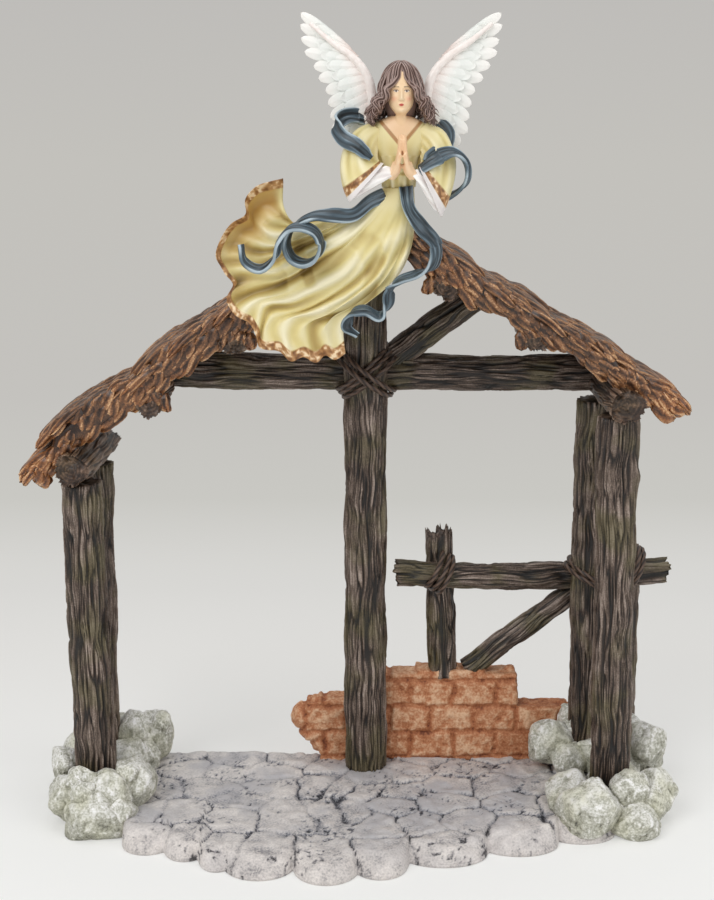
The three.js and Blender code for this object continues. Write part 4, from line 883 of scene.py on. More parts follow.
# Each boulder's middle and half sizes, by the group that it is in
BOULDERS = {
    "left_front_rocks": [
        (-179, -33, 12, 20, 17, 19), (-171, -25, 27, 17, 13, 15), (-198, -19, 19, 14, 15, 17),
        (-154, -11, 26, 15, 15, 15), (-204, 3, 33, 10, 12, 13), (-162, 9, 20, 16, 18, 14),
        (-186, -36, 30, 9, 8, 8), (-163, -34, 15, 11, 10, 13), (-190, -28, 36, 9, 8, 9),
        (-158, -18, 37, 9, 9, 8),
    ],
    "left_back_rocks": [
        (-162, 50, 36, 13, 14, 16), (-146, 54, 34, 13, 12, 18), (-198, 46, 22, 15, 20, 20),
        (-178, 64, 24, 22, 12, 20), (-168, 32, 22, 18, 13, 17), (-155, 44, 22, 12, 10, 14),
        (-142, 48, 46, 7, 7, 8),
    ],
    "right_front_rocks": [
        (158, -39, 19, 20, 17, 20), (190, -37, 9, 16, 14, 13), (186, -24, 27, 13, 12, 13),
        (206, -11, 17, 13, 16, 19), (148, -11, 17, 18, 20, 14), (180, 5, 20, 20, 16, 17),
        (175, -33, 12, 10, 9, 12), (203, -24, 16, 10, 9, 12),
    ],
    "right_back_rocks": [
        (140, 39, 33, 17, 13, 17), (206, 26, 38, 14, 14, 17), (160, 52, 40, 13, 14, 17),
        (192, 60, 26, 22, 13, 20), (212, 48, 22, 10, 16, 18), (180, 30, 26, 22, 13, 17),
        (152, 28, 24, 12, 11, 14), (196, 34, 46, 9, 9, 9),
    ],
}

# Planes that cut a boulder out of a ball, spread over it by the angle of a sunflower's seeds
CUT_PLANES = 15
SEED_ANGLE = 2.39996
EDGE_SOFTNESS = 12.0


def scattered(field, points, seed):
    """Three values from -1 to 1 for each place, to push it by."""
    return np.stack([field(points, seed + k) - 0.5 for k in range(3)], -1) * 2


def boulder(name, place, sizes, seed):
    """A worn block of stone: an icosphere cut by planes that meet in soft edges."""
    if "boulder" not in blanks:
        bpy.ops.mesh.primitive_ico_sphere_add(subdivisions=5, radius=1)
        mould = bpy.context.object
        blanks["boulder"] = (mould.data, read(mould.data))
        bpy.data.objects.remove(mould)
    mesh, ball = blanks["boulder"]
    index = np.arange(CUT_PLANES)
    rise = 1 - 2 * (index + 0.5) / CUT_PLANES
    swing = index * SEED_ANGLE + seed
    level = np.sqrt(1 - rise**2)
    normals = np.stack([level * np.cos(swing), level * np.sin(swing), rise], -1)
    normals = unit(normals + 0.35 * scattered(lattice, normals * 9, seed))
    offsets = 0.84 + 0.13 * lattice(normals * 5, seed + 9)
    warped = unit(ball + 0.1 * scattered(noise, ball * 2.2 + seed, seed))
    reach = offsets / np.maximum(warped @ normals.T, 0.08)
    soft = -np.log(np.exp(-EDGE_SOFTNESS * np.minimum(reach, 3)).sum(axis=1)) / EDGE_SOFTNESS
    nearest = np.partition(reach, 1, axis=1)
    brink = 1 - smoothstep(0.0, 0.13, nearest[:, 1] - nearest[:, 0])
    chips = fractal(ball * 3.0 + seed * 1.7, seed + 20, 4)
    creases = smoothstep(0.8, 1, ridges(ball * 1.6 + seed, seed + 24))
    radius = 1.06 * soft + 0.14 * (chips - 0.5) - 0.05 * creases
    points = np.array(place) + ball * radius[:, None] * np.array(sizes)
    points[:, 2] = np.maximum(points[:, 2], 0.0)
    strokes = smoothstep(0.5, 0.66, fractal(ball * np.array((9, 9, 4)) + seed, seed + 30, 3))
    # Painted light: each boulder is painted lighter towards its top, as if lit from above
    up = smoothstep(-0.7, 0.9, ball[:, 2])
    fleck = noise(ball * np.array((19, 19, 11)) + seed, seed + 31) - 0.5
    brushed = strokes * (0.4 + 0.6 * brink) + 0.25 * brink
    light = 0.37 + 0.4 * (chips - 0.5) + 0.4 * brushed + 0.24 * up - 0.22 * creases + 0.28 * fleck
    return place_piece(name, mesh, points, relief=np.clip(light, 0, 1))


class CRECHE_OT_boulders(bpy.types.Operator):
    """Models the groups of boulders round the corner posts"""

    bl_idname = "creche.boulders"
    bl_label = "Boulders"

    def execute(self, context):
        seed = 1
        for group, list_of_boulders in BOULDERS.items():
            stones = []
            for *place, rx, ry, rz in list_of_boulders:
                stones.append(boulder(group, place, (rx, ry, rz), seed))
                seed += 1
            dress(joined(group + "_stone", stones), "boulder", finish("boulder_painted_resin"), group)
        return {"FINISHED"}


# Ruined wall

WALL_Y = (56.0, 74.0)
COURSE = 20.0
BRICK = 31.0

# Blocks of masonry: left, right, bottom and top
MASONRY = [(-27, 26, 12, 58), (10, 116, 12, 78), (44, 92, 60, 81), (100, 154, 12, 54), (-37, 0, 28, 56)]

# Lumps that round off the wall's broken ends: X, Z and radius
LUMPS = [(-37, 43, 11), (-29, 49, 9), (-34, 34, 9), (-24, 24, 10), (112, 78, 4), (151, 52, 4)]

WALL_VOXEL = 1.05
WALL_FOOT = 10.0


class CRECHE_OT_wall(bpy.types.Operator):
    """Models the ruined brick wall: rough raised bricks on a worn core"""

    bl_idname = "creche.wall"
    bl_label = "Brick Wall"

    def execute(self, context):
        blocks = []
        for left, right, bottom, top in MASONRY:
            bpy.ops.mesh.primitive_cube_add(size=1)
            block = context.object
            middle = ((left + right) / 2, sum(WALL_Y) / 2, (bottom + top) / 2)
            size = (right - left, WALL_Y[1] - WALL_Y[0], top - bottom)
            for vertex in block.data.vertices:
                vertex.co = [(m + v * s) * MM for m, v, s in zip(middle, vertex.co, size)]
            blocks.append(block)
        for x, z, radius in LUMPS:
            bpy.ops.mesh.primitive_uv_sphere_add(segments=24, ring_count=16, radius=radius * MM)
            ball = context.object
            for vertex in ball.data.vertices:
                vertex.co.x += x * MM
                vertex.co.y = vertex.co.y * 0.9 + sum(WALL_Y) / 2 * MM
                vertex.co.z += z * MM
            blocks.append(ball)
        wall = joined("brick_wall_masonry", blocks)
        apply_modifier(wall, "REMESH", mode="VOXEL", voxel_size=WALL_VOXEL * MM)
        points = places(wall)
        normals = read(wall.data, "normal")
        warp = fractal(points / 14, 41, 2) - 0.5
        x = points[:, 0] + 5 * warp
        z = points[:, 2] - FLOOR_TOP + 4 * (fractal(points / 17, 42, 2) - 0.5)
        course = np.floor(z / COURSE)
        shift = x - 8 + np.where(course % 2 == 1, BRICK / 2, 0.0)
        gap_z = np.abs(z / COURSE - np.round(z / COURSE)) * COURSE
        gap_x = np.abs(shift / BRICK - np.round(shift / BRICK)) * BRICK
        joint = np.minimum(gap_z, gap_x)
        brick = smoothstep(0.7, 2.8, joint)
        which = np.stack([np.floor(shift / BRICK), course, np.zeros_like(x)], -1)
        rough = fractal(points / 4, 43, 3) - 0.5
        chisel = ridges(points / np.array((7, 7, 4)), 44)
        height = 1.5 * brick + 2.1 * rough + 0.3 * chisel * brick
        height = height + 0.9 * (lattice(which, 45) - 0.5) * brick - 0.7
        points = points + normals * height[:, None]
        points[:, 2] = np.maximum(points[:, 2], WALL_FOOT)
        write(wall.data, points)
        smooth_faces(wall.data)
        light = 0.27 + 0.32 * brick + 0.75 * rough + 0.14 * chisel + 0.1 * (lattice(which, 46) - 0.5)
        paint(wall, relief=np.clip(light, 0, 1))
        dress(wall, "brick", finish("brick_painted_resin"), "brick_wall")
        return {"FINISHED"}


# Roof

FACE = np.array((0.0, -1.0, 0.0))
RIDGE_LINE = np.array((RIDGE[0], 0.0, RIDGE[1]))
EAVES = {-1: -219.0, 1: 214.0}
THICKNESS = {-1: 13.0, 1: 11.5}

# How far the straw stands out at distances down each slope: a course thickens to its end, then steps back
COURSES = {
    -1: [
        (0, 0), (60, -1), (64, 1), (100, 3), (134, 5), (162, 8),
        (172, 1), (186, 1), (215, 6), (243, 8), (254, -3), (292, -6),
    ],
    1: [(0, 0), (56, 3.5), (64, -1.5), (112, 3), (120, -1.5), (176, 3.5), (186, -2), (220, 0)],
}

# Clumps of straw: the step from row to row, how many to a row, to the front's end of it and to a purlin
TUFT_STEP = 9.0
TUFTS_ACROSS = 7
TUFT_Y = (-10, 63)
FRONT_LAYERS = 3
PURLIN_TUFTS = 9
SHORTEST_TUFT = 8.0
FIRST_SEED = {-1: 101.0, 1: 501.0}


def slope(side):
    """The ways down a slope and out of it, and its length to the eave."""
    pitch = PITCHES[side]
    down = np.array((side * math.cos(pitch), 0, -math.sin(pitch)))
    out = np.array((side * math.sin(pitch), 0, math.cos(pitch)))
    return down, out, abs(EAVES[side] - RIDGE[0]) / math.cos(pitch)


def course_rise(side, along):
    """How far the straw stands out at distances down a slope."""
    return np.interp(along, *zip(*COURSES[side]))


def tuft(name, root, down, out, length, width, thick, seed):
    """A wavy clump of straw with a blunt, frayed tip, grooved into strands."""
    mesh, turn, share, reach = round_blank(18, 11, 1)
    chance = chances(5, seed, seed * 0.37, 3.0)
    across = unit(np.cross(down, out))
    bend = share**1.5
    sink = thick * bend - 1.3 * np.sin(np.pi * share)
    sway = 4 * (chance[0] - 0.5) * bend + 0.9 * np.sin(4.0 * share + 6 * chance[1])
    centre = root + down * (length * share)[:, None] - out * sink[:, None] + across * sway[:, None]
    blunt = np.sqrt(np.clip(1 - ((share - 0.7) / 0.3).clip(0, 1) ** 2, 0, 1))
    body = (0.45 + 0.55 * smoothstep(0, 0.3, share)) * blunt
    twist = turn + (chance[2] - 0.5) * share
    strand = 0.5 + 0.5 * np.cos(5 * twist + 6 * chance[3] + 1.4 * np.sin(4 * share + 3 * chance[4]))
    fine = noise(rolled(twist, 3, share * 2.2 + seed), 57)
    size = body * (0.74 + 0.26 * strand + 0.16 * fine) * reach
    frayed = 2.4 * (strand - 0.5) * smoothstep(0.6, 1, share)
    points = centre + across * (np.cos(turn) * width * size)[:, None]
    points = points + out * (np.sin(turn) * thick * size)[:, None] + down * frayed[:, None]
    light = -0.02 + 0.56 * strand + 0.46 * fine + 0.1 * share
    tips = 0.25 + 0.9 * smoothstep(0.3, 1, share) * (0.35 + chance[1])
    return place_piece(name, mesh, points, relief=np.clip(light, 0, 1), tips=np.clip(tips, 0, 1))


def straw_core(name, side):
    """The bed of straw that a slope's clumps lie on."""
    down, out, length = slope(side)
    thick = THICKNESS[side]
    mesh, turn, share, reach = round_blank(44, 90, 3)
    along = share * (length - 8)
    middle_y = sum(THATCH_Y) / 2
    half_y = (THATCH_Y[1] - THATCH_Y[0]) / 2 - 1.5
    y = middle_y + half_y * power(np.cos(turn), 0.45) * reach
    height = thick * 0.42 + thick * 0.5 * power(np.sin(turn), 0.6) * reach
    strands = np.stack([along / 22, y / 2.4, height / 2.6], -1)
    relief = 0.65 * noise(strands, 51) + 0.35 * noise(strands * 2.3, 52)
    start = -height * math.tan(PITCHES[side])
    rise = course_rise(side, along) * smoothstep(0, 1, height / thick)
    height = height + 1.8 * (relief - 0.5) + rise
    centre = RIDGE_LINE + down * mix(start, along, smoothstep(0, 0.05, share))[:, None]
    points = centre + out * height[:, None]
    points[:, 1] = y
    return face_out(place_piece(name, mesh, points, relief=0.8 * relief, tips=0.1))


def row_of_straw(name, side, row, first_seed):
    """One row of clumps: over the top of a slope, then in layers on its front."""
    down, out, length = slope(side)
    thick = THICKNESS[side]
    at = (row + 0.1) * TUFT_STEP
    step = float(course_rise(side, at + 10))
    thinned = 3 * (1 - smoothstep(0, 30, length - at))
    tufts = []
    for column in range(TUFTS_ACROSS):
        seed = first_seed + column
        chance = chances(6, seed, 1.7, seed * 0.61)
        rise = thick * 0.76 + step + 2.2 * (chance[2] - 0.5) - thinned
        root = RIDGE_LINE + down * (at + 5 * (chance[1] - 0.5)) + out * rise
        root[1] = mix(*TUFT_Y, (column + 0.5 * (row % 2) + 0.3 * chance[0]) / TUFTS_ACROSS)
        aim = unit(down + out * 0.04 + np.array((0, 0.5 * (chance[3] - 0.6), 0)))
        long = min(24 + 10 * chance[4], length + 3 - at)
        if long >= SHORTEST_TUFT:
            tufts.append(tuft(name, root, aim, out, long, 5.6 + 1.6 * chance[5], 3.0, seed))
    for layer in range(FRONT_LAYERS):
        seed = first_seed + TUFTS_ACROSS + layer
        chance = chances(6, seed, 2.9, seed * 0.43)
        lean = 0.16 + 0.34 * chance[3] - 0.06 * layer
        aim = unit(down * np.cos(lean) - out * np.sin(lean))
        rise = thick * (0.86 - 0.36 * layer) + step * (1 - 0.3 * layer) + 2 * (chance[2] - 0.5) - thinned
        root = RIDGE_LINE + down * (at + 6 * (chance[1] - 0.5) - 5) + out * rise
        root[1] = THATCH_Y[0] + 4.0 + 1.6 * (layer == FRONT_LAYERS - 1)
        long = min(15 + 8 * chance[4], length + 2 - at)
        if long >= SHORTEST_TUFT:
            tufts.append(tuft(name, root, aim, FACE, long, 4.2 + 1.4 * chance[5], 3.4, seed))
    return tufts


def straw_on_purlin(name, side, x, first_seed):
    """Straw that hangs over the front end of a purlin."""
    tufts = []
    for k in range(PURLIN_TUFTS):
        seed = first_seed + k
        chance = chances(4, seed, 2.9, seed * 0.43)
        off = k - PURLIN_TUFTS // 2
        root = np.array((x + 2.6 * off, -11.0 + 1.2 * (k % 2), under_thatch(x) + 4 - 0.2 * off**2))
        aim = unit(np.array((0.072 * off + 0.3 * side, 0.05, -1.0)))
        tufts.append(tuft(name, root, aim, FACE, 10 + 4 * chance[0], 3.6 + 1.2 * chance[1], 3.0, seed))
    return tufts


def brush_tips(straw, side):
    """Orange dry brush: strong at the eave and on the front, and in patches elsewhere."""
    down, _, length = slope(side)
    points = places(straw)
    run = (points - RIDGE_LINE) @ down / length
    front = 1 - smoothstep(-14, 2, points[:, 1])
    eave = smoothstep(0.84, 0.98, run)
    patches = smoothstep(0.4, 0.7, noise(points / 30, 60))
    tips = painted(straw, "tips") * (0.35 + 0.65 * patches) * (0.55 + 0.45 * front) + 0.7 * eave
    paint(straw, tips=np.clip(tips, 0, 1))


class CRECHE_OT_thatch(bpy.types.Operator):
    """Models each slope of thatch from a core and overlapping clumps of straw"""

    bl_idname = "creche.thatch"
    bl_label = "Thatch"

    def execute(self, context):
        for side, name in ((-1, "left_thatch"), (1, "right_thatch")):
            seed = FIRST_SEED[side]
            clumps = [straw_core(name, side)]
            for row in range(int(slope(side)[2] / TUFT_STEP)):
                clumps += row_of_straw(name, side, row, seed)
                seed += TUFTS_ACROSS + FRONT_LAYERS
            for x in PURLINS.values():
                if (x - RIDGE[0]) * side > 0:
                    clumps += straw_on_purlin(name, side, x, seed)
                    seed += PURLIN_TUFTS
            straw = joined(name + "_straw", clumps)
            brush_tips(straw, side)
            dress(face_out(straw), "thatch", finish("thatch_painted_resin"), name)
        return {"FINISHED"}


# Lashings

ROPE_RADIUS = 1.8
ROPE_PITCH = 4.2
ROPE_LAY = 9.0
STEPS_A_TURN = 110


def rope_winding(name, middle, wide, deep, turns, seed):
    """A twisted rope wound round a joint, one pitch higher with each turn."""
    middle, wide, deep = (np.array(v, dtype=float) for v in (middle, wide, deep))
    climb = unit(np.cross(wide, deep))
    mesh, turn, share, reach = round_blank(16, STEPS_A_TURN * turns, 2)

    def centre(s):
        angle = 2 * np.pi * turns * s + np.pi / 2
        rise = ROPE_PITCH * turns * (s - 0.5) + 0.7 * np.sin(5 * angle / 7 + seed)
        loop = np.cos(angle)[:, None] * wide + np.sin(angle)[:, None] * deep
        return middle + loop + climb * rise[:, None]

    here = centre(share)
    ahead = unit(centre(share + 0.001) - centre(share - 0.001))
    side = unit(np.cross(ahead, unit(here - middle)))
    off = np.cross(side, ahead)
    length = 2 * np.pi * turns * (np.linalg.norm(wide) + np.linalg.norm(deep)) / 2
    twist = 3 * turn + 2 * np.pi * share * length / ROPE_LAY
    strand = np.abs(np.cos(twist / 2))
    size = ROPE_RADIUS * (0.72 + 0.34 * strand) * reach
    points = here + side * (np.cos(turn) * size)[:, None] + off * (np.sin(turn) * size)[:, None]
    return place_piece(name, mesh, points, relief=0.1 + 0.8 * strand)


class CRECHE_OT_lashings(bpy.types.Operator):
    """Winds the rope lashings round the joints of the frame and the fence"""

    bl_idname = "creche.lashings"
    bl_label = "Rope Lashings"

    def execute(self, context):
        slant = math.radians(38)

        # Middle, half width and its slant, half depth and turns
        windings = {
            "center_lashing_under": ((6, 52, 304), 22.7, slant, 22.0, 3),
            "center_lashing_over": ((6, 52, 304), 23.7, -slant, 25.95, 2),
            "fence_lashing": ((59, 58, 157), 13.5, math.radians(60), 18.3, 3),
            "post_lashing": ((165.5, 52.5, 158), 17.4, math.radians(-30), 20.2, 2),
            "end_lashing": ((197, 64, 158), 15, math.radians(62), 20.8, 2),
        }
        for index, (name, (middle, half, angle, deep, turns)) in enumerate(windings.items()):
            wide = (half * math.cos(angle), 0, half * math.sin(angle))
            piece = rope_winding(name + "_rope", middle, wide, (0, deep, 0), turns, index)
            dress(face_out(piece), "rope", finish("rope_painted_resin"), name)
        return {"FINISHED"}


# Angel. Places are measured from the middle of the waist.

HEAD = np.array((1.0, -4.0, 57.0))

WAIST_HALF = 9.5

# The gown's outline, seen from the front
GOWN_UPPER = curve(
    [(-WAIST_HALF, 0), (-21, -9), (-33, -15), (-50, -20), (-64, -23), (-72, -12), (-72, 6)], 2,
)
GOWN_LOWER = curve(
    [(WAIST_HALF, 0), (10, -18), (8, -37), (0, -55), (-18, -71), (-31, -79), (-35, -90), (-34, -105)], 2,
)
GOWN_HEM = curve(
    [
        (-72, 6), (-80, 4), (-88, 1), (-95, -7), (-95, -16), (-104, -22), (-110, -30), (-114, -42),
        (-109, -52), (-104, -60), (-108, -69), (-105, -77), (-95, -84), (-90, -92), (-88, -101),
        (-76, -103), (-68, -109), (-60, -107), (-52, -111), (-46, -106), (-40, -109), (-34, -105),
    ],
    2,
)


def gown_place(s, t):
    """The gown's sheet seen from the front. S runs from waist to hem, t from its upper edge to its lower."""
    upper, lower, hem = GOWN_UPPER(s), GOWN_LOWER(s), GOWN_HEM(t)
    waist = np.stack([mix(-WAIST_HALF, WAIST_HALF, t), np.zeros_like(t)], -1)
    s, t = s[:, None], t[:, None]
    corners = (1 - s) * (1 - t) * GOWN_UPPER(0.0) + (1 - s) * t * GOWN_LOWER(0.0)
    corners = corners + s * (1 - t) * GOWN_UPPER(1.0) + s * t * GOWN_LOWER(1.0)
    return upper * (1 - t) + lower * t + waist * (1 - s) + hem * s - corners


def gown_folds(s, t, x, z):
    """Height of the cloth's folds in millimetres, and how light each place is painted: lighter on the folds'
    crests, with painted shade in their hollows and crumples and in two patches of painted shadow.
    """
    level = np.zeros_like(x)
    sway = 0.8 * (fractal(np.stack([s * 2.6, t * 4.0, level], -1), 71, 3) - 0.5)
    wide = np.sin(2 * np.pi * (5.2 * t + 0.9 * s * (1 - t) + 1.3 * sway))
    fine = np.sin(2 * np.pi * (12.5 * t - 0.8 * s + 2.4 * sway) + 1.3)
    uneven = smoothstep(0.35, 0.65, noise(np.stack([x, z, level], -1) / 22, 73))
    crest = power(wide, 0.8) * (0.45 + 0.8 * uneven)
    spread = smoothstep(0.02, 0.6, s)
    pulled = np.stack([(x * 0.3 - z * 0.95) / 30, (x * 0.95 + z * 0.3) / 9 + 2 * sway, level], -1)
    on_thigh = smoothstep(0.08, 0.25, s) * (1 - smoothstep(0.55, 0.85, s))
    crumple = smoothstep(0.5, 0.8, noise(pulled, 74)) * on_thigh
    drape = np.sin(2 * np.pi * (0.055 * (x * 0.55 - z * 0.84) + 0.5 * sway)) * bell((s - 0.3) / 0.22)
    height = spread * (2.1 * crest + (0.8 + 0.9 * s) * fine * smoothstep(0.05, 0.3, s)) - 1.2 * crumple
    # Painted shadow in two patches, one on the skirt near the sash and one on the left near the hem, and
    # painted shade in the hollows of the folds and crumples
    shade = 0.3 * bell((x + 60) / 17, (z + 44) / 12) + 0.34 * bell((x + 104) / 10, (z + 54) / 22)
    light = 0.62 + 0.2 * crest * spread + 0.17 * fine * spread + 0.16 * drape - 0.2 * crumple - shade
    return height + 1.5 * drape, np.clip(light, 0, 1)


def flap_share(s, t):
    """How far the cloth is turned up at its upper corner, where its inside shows."""
    return smoothstep(0.66, 0.86, s) * (1 - smoothstep(0.16, 0.46, t))


def gown_depth(s, t, x, z):
    """How far the front and the back of the cloth stand towards the viewer, and how light it is painted:
    painted light on the thigh, and painted shade in the hollow above it and in the folds.
    """
    inside = np.clip(t, 0, 1)
    across = np.sqrt(np.clip(1 - (2 * inside - 1) ** 2, 0, 1))
    body = 8 * across * (1 + 1.1 * np.sin(np.pi * np.minimum(1, 1.3 * s))) * (1 - 0.85 * s)
    folds, crest = gown_folds(s, t, x, z)
    thigh = 4.5 * bell((x + 29) / 15, (z + 31) / 12)
    hollow = 2.5 * bell((x + 34) / 9, (z + 18) / 5)
    curl = 12 * s**3 * (1 - inside) ** 1.2
    flap = flap_share(s, t)
    dip = np.abs(2 * np.clip((s - 0.72) / 0.28, 0, 1) - 1)
    bowl = flap * (7 * dip**2 + 5 * bell(inside / 0.06) - 9)
    front = body + curl + folds * (0.35 + 0.65 * across) * (1 - 0.7 * flap) + 2 + thigh - hollow + bowl
    rim = np.clip(np.minimum.reduce([s * 3 + 0.2, (1 - s) / 0.02, inside / 0.03, (1 - inside) / 0.02]), 0, 1)
    thin = 0.9 + 1.3 * np.sqrt(rim)
    back = mix(front - thin, np.minimum(front - thin, curl - 6.4), across**0.7 * (1 - flap))
    # Painted light on the thigh and painted shade in the hollow above it, over the folds' painted shade
    return front, back, np.clip(crest + 0.12 * (thigh - hollow) / 4, 0, 1)


def embossed(points):
    """Scrolls pressed into a gilded hem, from 0 to 1."""
    return np.clip(0.5 + 1.1 * (noise(points / 2.2, 81) - 0.5) + 0.7 * (noise(points / 1.0, 82) - 0.5), 0, 1)


def rows_tube(name, blank, rows, crease=None, **paints):
    """A tube through rows of middle X, Y, Z, half width, half depth and tilt. A crease adds to its radius."""
    mesh, turn, share, reach = blank
    row = curve(rows)(share)
    wave, relief = crease(turn, share) if crease else (0, 0.6)
    across = (row[:, 3] + wave) * np.cos(turn) * reach
    deep = (row[:, 4] + wave) * np.sin(turn) * reach
    offset = np.stack([across * np.cos(row[:, 5]), deep, across * np.sin(row[:, 5])], -1)
    points = WAIST + row[:, :3] + offset
    values = {key: value(turn, share, points) for key, value in paints.items()}
    return place_piece(name, mesh, points, relief=relief, **values)


def gown_cloth():
    """The gown from the waist down: a shell with a gilded hem, turned up at its upper corner."""
    mesh, u, v, w = sheet_blank(200, 180)
    rim = on_rim(w)
    s = np.where(rim & (u > 0.999), 1.005, u)
    t = np.where(rim & (v < 0.001), -0.004, np.where(rim & (v > 0.999), 1.004, v))
    flat = gown_place(s, t)
    front, back, crest = gown_depth(s, t, flat[:, 0], flat[:, 1])
    edge = np.minimum((1 - s) * 95, 60.0)
    trim = 1 - smoothstep(5.4, 6.4, edge)
    scrolls = embossed(np.stack([flat[:, 0], np.zeros_like(s), flat[:, 1]], -1))
    front = front + trim * (0.5 + 0.7 * scrolls)
    depth = np.where(w > 0.8, front, np.where(rim, 0.5 * (front + back), back))
    points = WAIST + np.stack([flat[:, 0], -depth, flat[:, 1]], -1)
    thin_edge = bell(np.clip(t, 0, 1) / 0.02) * smoothstep(0.6, 0.8, s)
    inner = flap_share(s, t) * (1 - thin_edge)
    # Painted shade inside the turned-up corner: darkest in its middle and lighter towards its ends
    ends = np.abs(2 * np.clip((s - 0.7) / 0.3, 0, 1) - 1)
    hollow = smoothstep(0, 0.5, inner) * (0.45 + 0.5 * ends)
    shade = np.where(inner > 0.4, mix(crest, hollow, inner), crest)
    relief = mix(shade, 0.25 + 0.75 * scrolls, trim)
    return place_piece(
        "gown_cloth", mesh, points, relief=relief, inner=inner, trim=trim, bare=0.0, lining=0.0,
    )


# Rows of the bodice from the waist to the neck: middle X, Y, Z, half width, half depth and tilt
BODICE = [
    (0, 0, 0, 10, 8.4, 0), (0.1, 0, 6, 10.4, 8.9, 0), (0.3, -0.4, 16, 13.4, 10.4, 0),
    (0.4, -0.4, 25, 16.4, 10.6, 0), (0.5, 0, 33, 18.6, 9.4, 0), (0.6, 0, 38, 16.4, 8.2, 0),
    (0.7, 0, 41.5, 11, 6.8, 0), (0.8, 0, 43.5, 6, 5.6, 0),
]


def over_neck(points):
    """How far places lie over the neckline, which is a V."""
    return points[:, 2] - WAIST[2] - 26 - 1.15 * np.abs(points[:, 0] - WAIST[0] - HEAD[0])


def bodice_cloth():
    """The bodice with its pleats, waist band and gilded neckline, and bare skin over that."""
    def crease(turn, share):
        pleat = np.sin(9 * turn + 3 * np.sin(3 * share))
        waist = smoothstep(0.16, 0.2, share) * (1 - smoothstep(0.2, 0.25, share))
        fine = 0.3 * np.sin(15 * turn) * (share < 0.45)
        gather = 0.5 * pleat * (1 - smoothstep(0.1, 0.8, share)) + fine
        # Painted shade: darker in the pleats' hollows and in the groove at the waist
        return gather - 0.9 * waist, np.clip(0.62 + 0.34 * gather - 0.4 * waist, 0, 1)

    def neckline(turn, share, points):
        return (1 - smoothstep(1.4, 2.2, np.abs(over_neck(points)))) * (points[:, 1] < WAIST[1])

    def bare(turn, share, points):
        return smoothstep(1.2, 2.0, over_neck(points)) * (points[:, 1] < WAIST[1])

    blank = round_blank(160, 110, 3)
    bodice = rows_tube("bodice_cloth", blank, BODICE, crease, trim=neckline, bare=bare)
    paint(bodice, lining=0.0)
    return bodice


# Rows of the bell sleeves from the shoulder to the mouth, and into it
SLEEVES = {
    "left": [
        (-12.5, 0.5, 35.5, 6.4, 7, -0.7), (-19.5, -1, 30, 9, 8.2, -0.45), (-24.5, -5, 20, 11, 8.6, 0.05),
        (-24.5, -10, 11, 13, 8.6, 0.5), (-21.8, -16, 5.4, 15, 7.2, 0.8), (-20, -19, 4, 15.4, 6.2, 0.85),
        (-20.6, -18.2, 4.8, 13.2, 4.4, 0.85), (-25, -12, 7, 8, 3, 0.8),
    ],
    "right": [
        (12.5, 0.5, 35.5, 6.4, 7, 0.7), (19.5, -1, 30, 9, 8.2, 0.45), (24, -5, 20, 10.4, 8.6, -0.1),
        (23.5, -10, 9.5, 13, 8.6, -0.7), (20.4, -16, 0.8, 15.6, 7.2, -1.05),
        (18.8, -19, -2, 16.4, 6.2, -1.15), (19.4, -18.2, -1.4, 14.2, 4.4, -1.15), (23, -12, 2, 9, 3, -1.1),
    ],
}

# Rows of the inner sleeves, from inside the bell sleeves to the wrists
CUFFS = {
    "left": [
        (-24.6, -17, 3.2, 6, 2.6, 0.85), (-18.6, -18.9, 4.4, 12.6, 3.9, 0.85),
        (-13, -18.6, 6, 10, 4.3, 0.85), (-7.6, -18.4, 7.6, 6, 4.3, 0.8), (-3.7, -18.2, 8.9, 3.8, 4, 0.7),
    ],
    "right": [
        (22.6, -17, -4, 6.4, 2.6, -1.15), (17.8, -18.9, -1.4, 13.4, 3.9, -1.15),
        (13.6, -18.6, 2, 10.4, 4.3, -1.15), (10.4, -18.4, 5.6, 6, 4.3, -1.0), (7.4, -18.2, 8.9, 3.8, 4, -0.8),
    ],
}


def sleeve_cloth(side, name):
    """A bell sleeve with a gilded hem, whose rows turn back into its mouth as a lining."""
    def crease(turn, share):
        sway = 0.6 * np.sin(5 * share + side)
        fold = np.sin(5 * turn + 9 * share * side + sway) + 0.5 * np.sin(11 * turn - 7 * share + 2)
        strength = np.sin(np.pi * np.clip(share * 1.25, 0, 1)) * (share < 0.8)
        # Painted shade: darker in the folds' hollows and deep inside the sleeve's mouth
        relief = 0.62 + 0.16 * fold * strength - 0.5 * smoothstep(0.87, 0.92, share)
        return 0.6 * fold * strength, np.clip(relief, 0, 1)

    def trim(turn, share, points):
        return smoothstep(0.645, 0.66, share) * (1 - smoothstep(0.745, 0.755, share))

    def lining(turn, share, points):
        return smoothstep(0.745, 0.755, share)

    blank = round_blank(140, 130, 3)
    sleeve = rows_tube(f"{name}_sleeve_cloth", blank, SLEEVES[name], crease, trim=trim, lining=lining)
    scrolls = embossed(places(sleeve))
    relief = mix(painted(sleeve, "relief"), 0.2 + 0.8 * scrolls, painted(sleeve, "trim"))
    paint(sleeve, bare=0.0, relief=relief)
    return sleeve


def cuff_cloth(name):
    """An inner sleeve, which shows between the bell sleeve's mouth and the hands."""
    def crease(turn, share):
        fold = np.sin(4 * turn + 5 * share) + 0.5 * np.sin(9 * turn - 4 * share)
        # Painted shade in the hollows of the folds
        return 0.4 * fold * np.sin(np.pi * share), np.clip(0.74 + 0.2 * fold, 0, 1)

    return rows_tube(f"{name}_cuff_cloth", round_blank(90, 70, 3), CUFFS[name], crease)


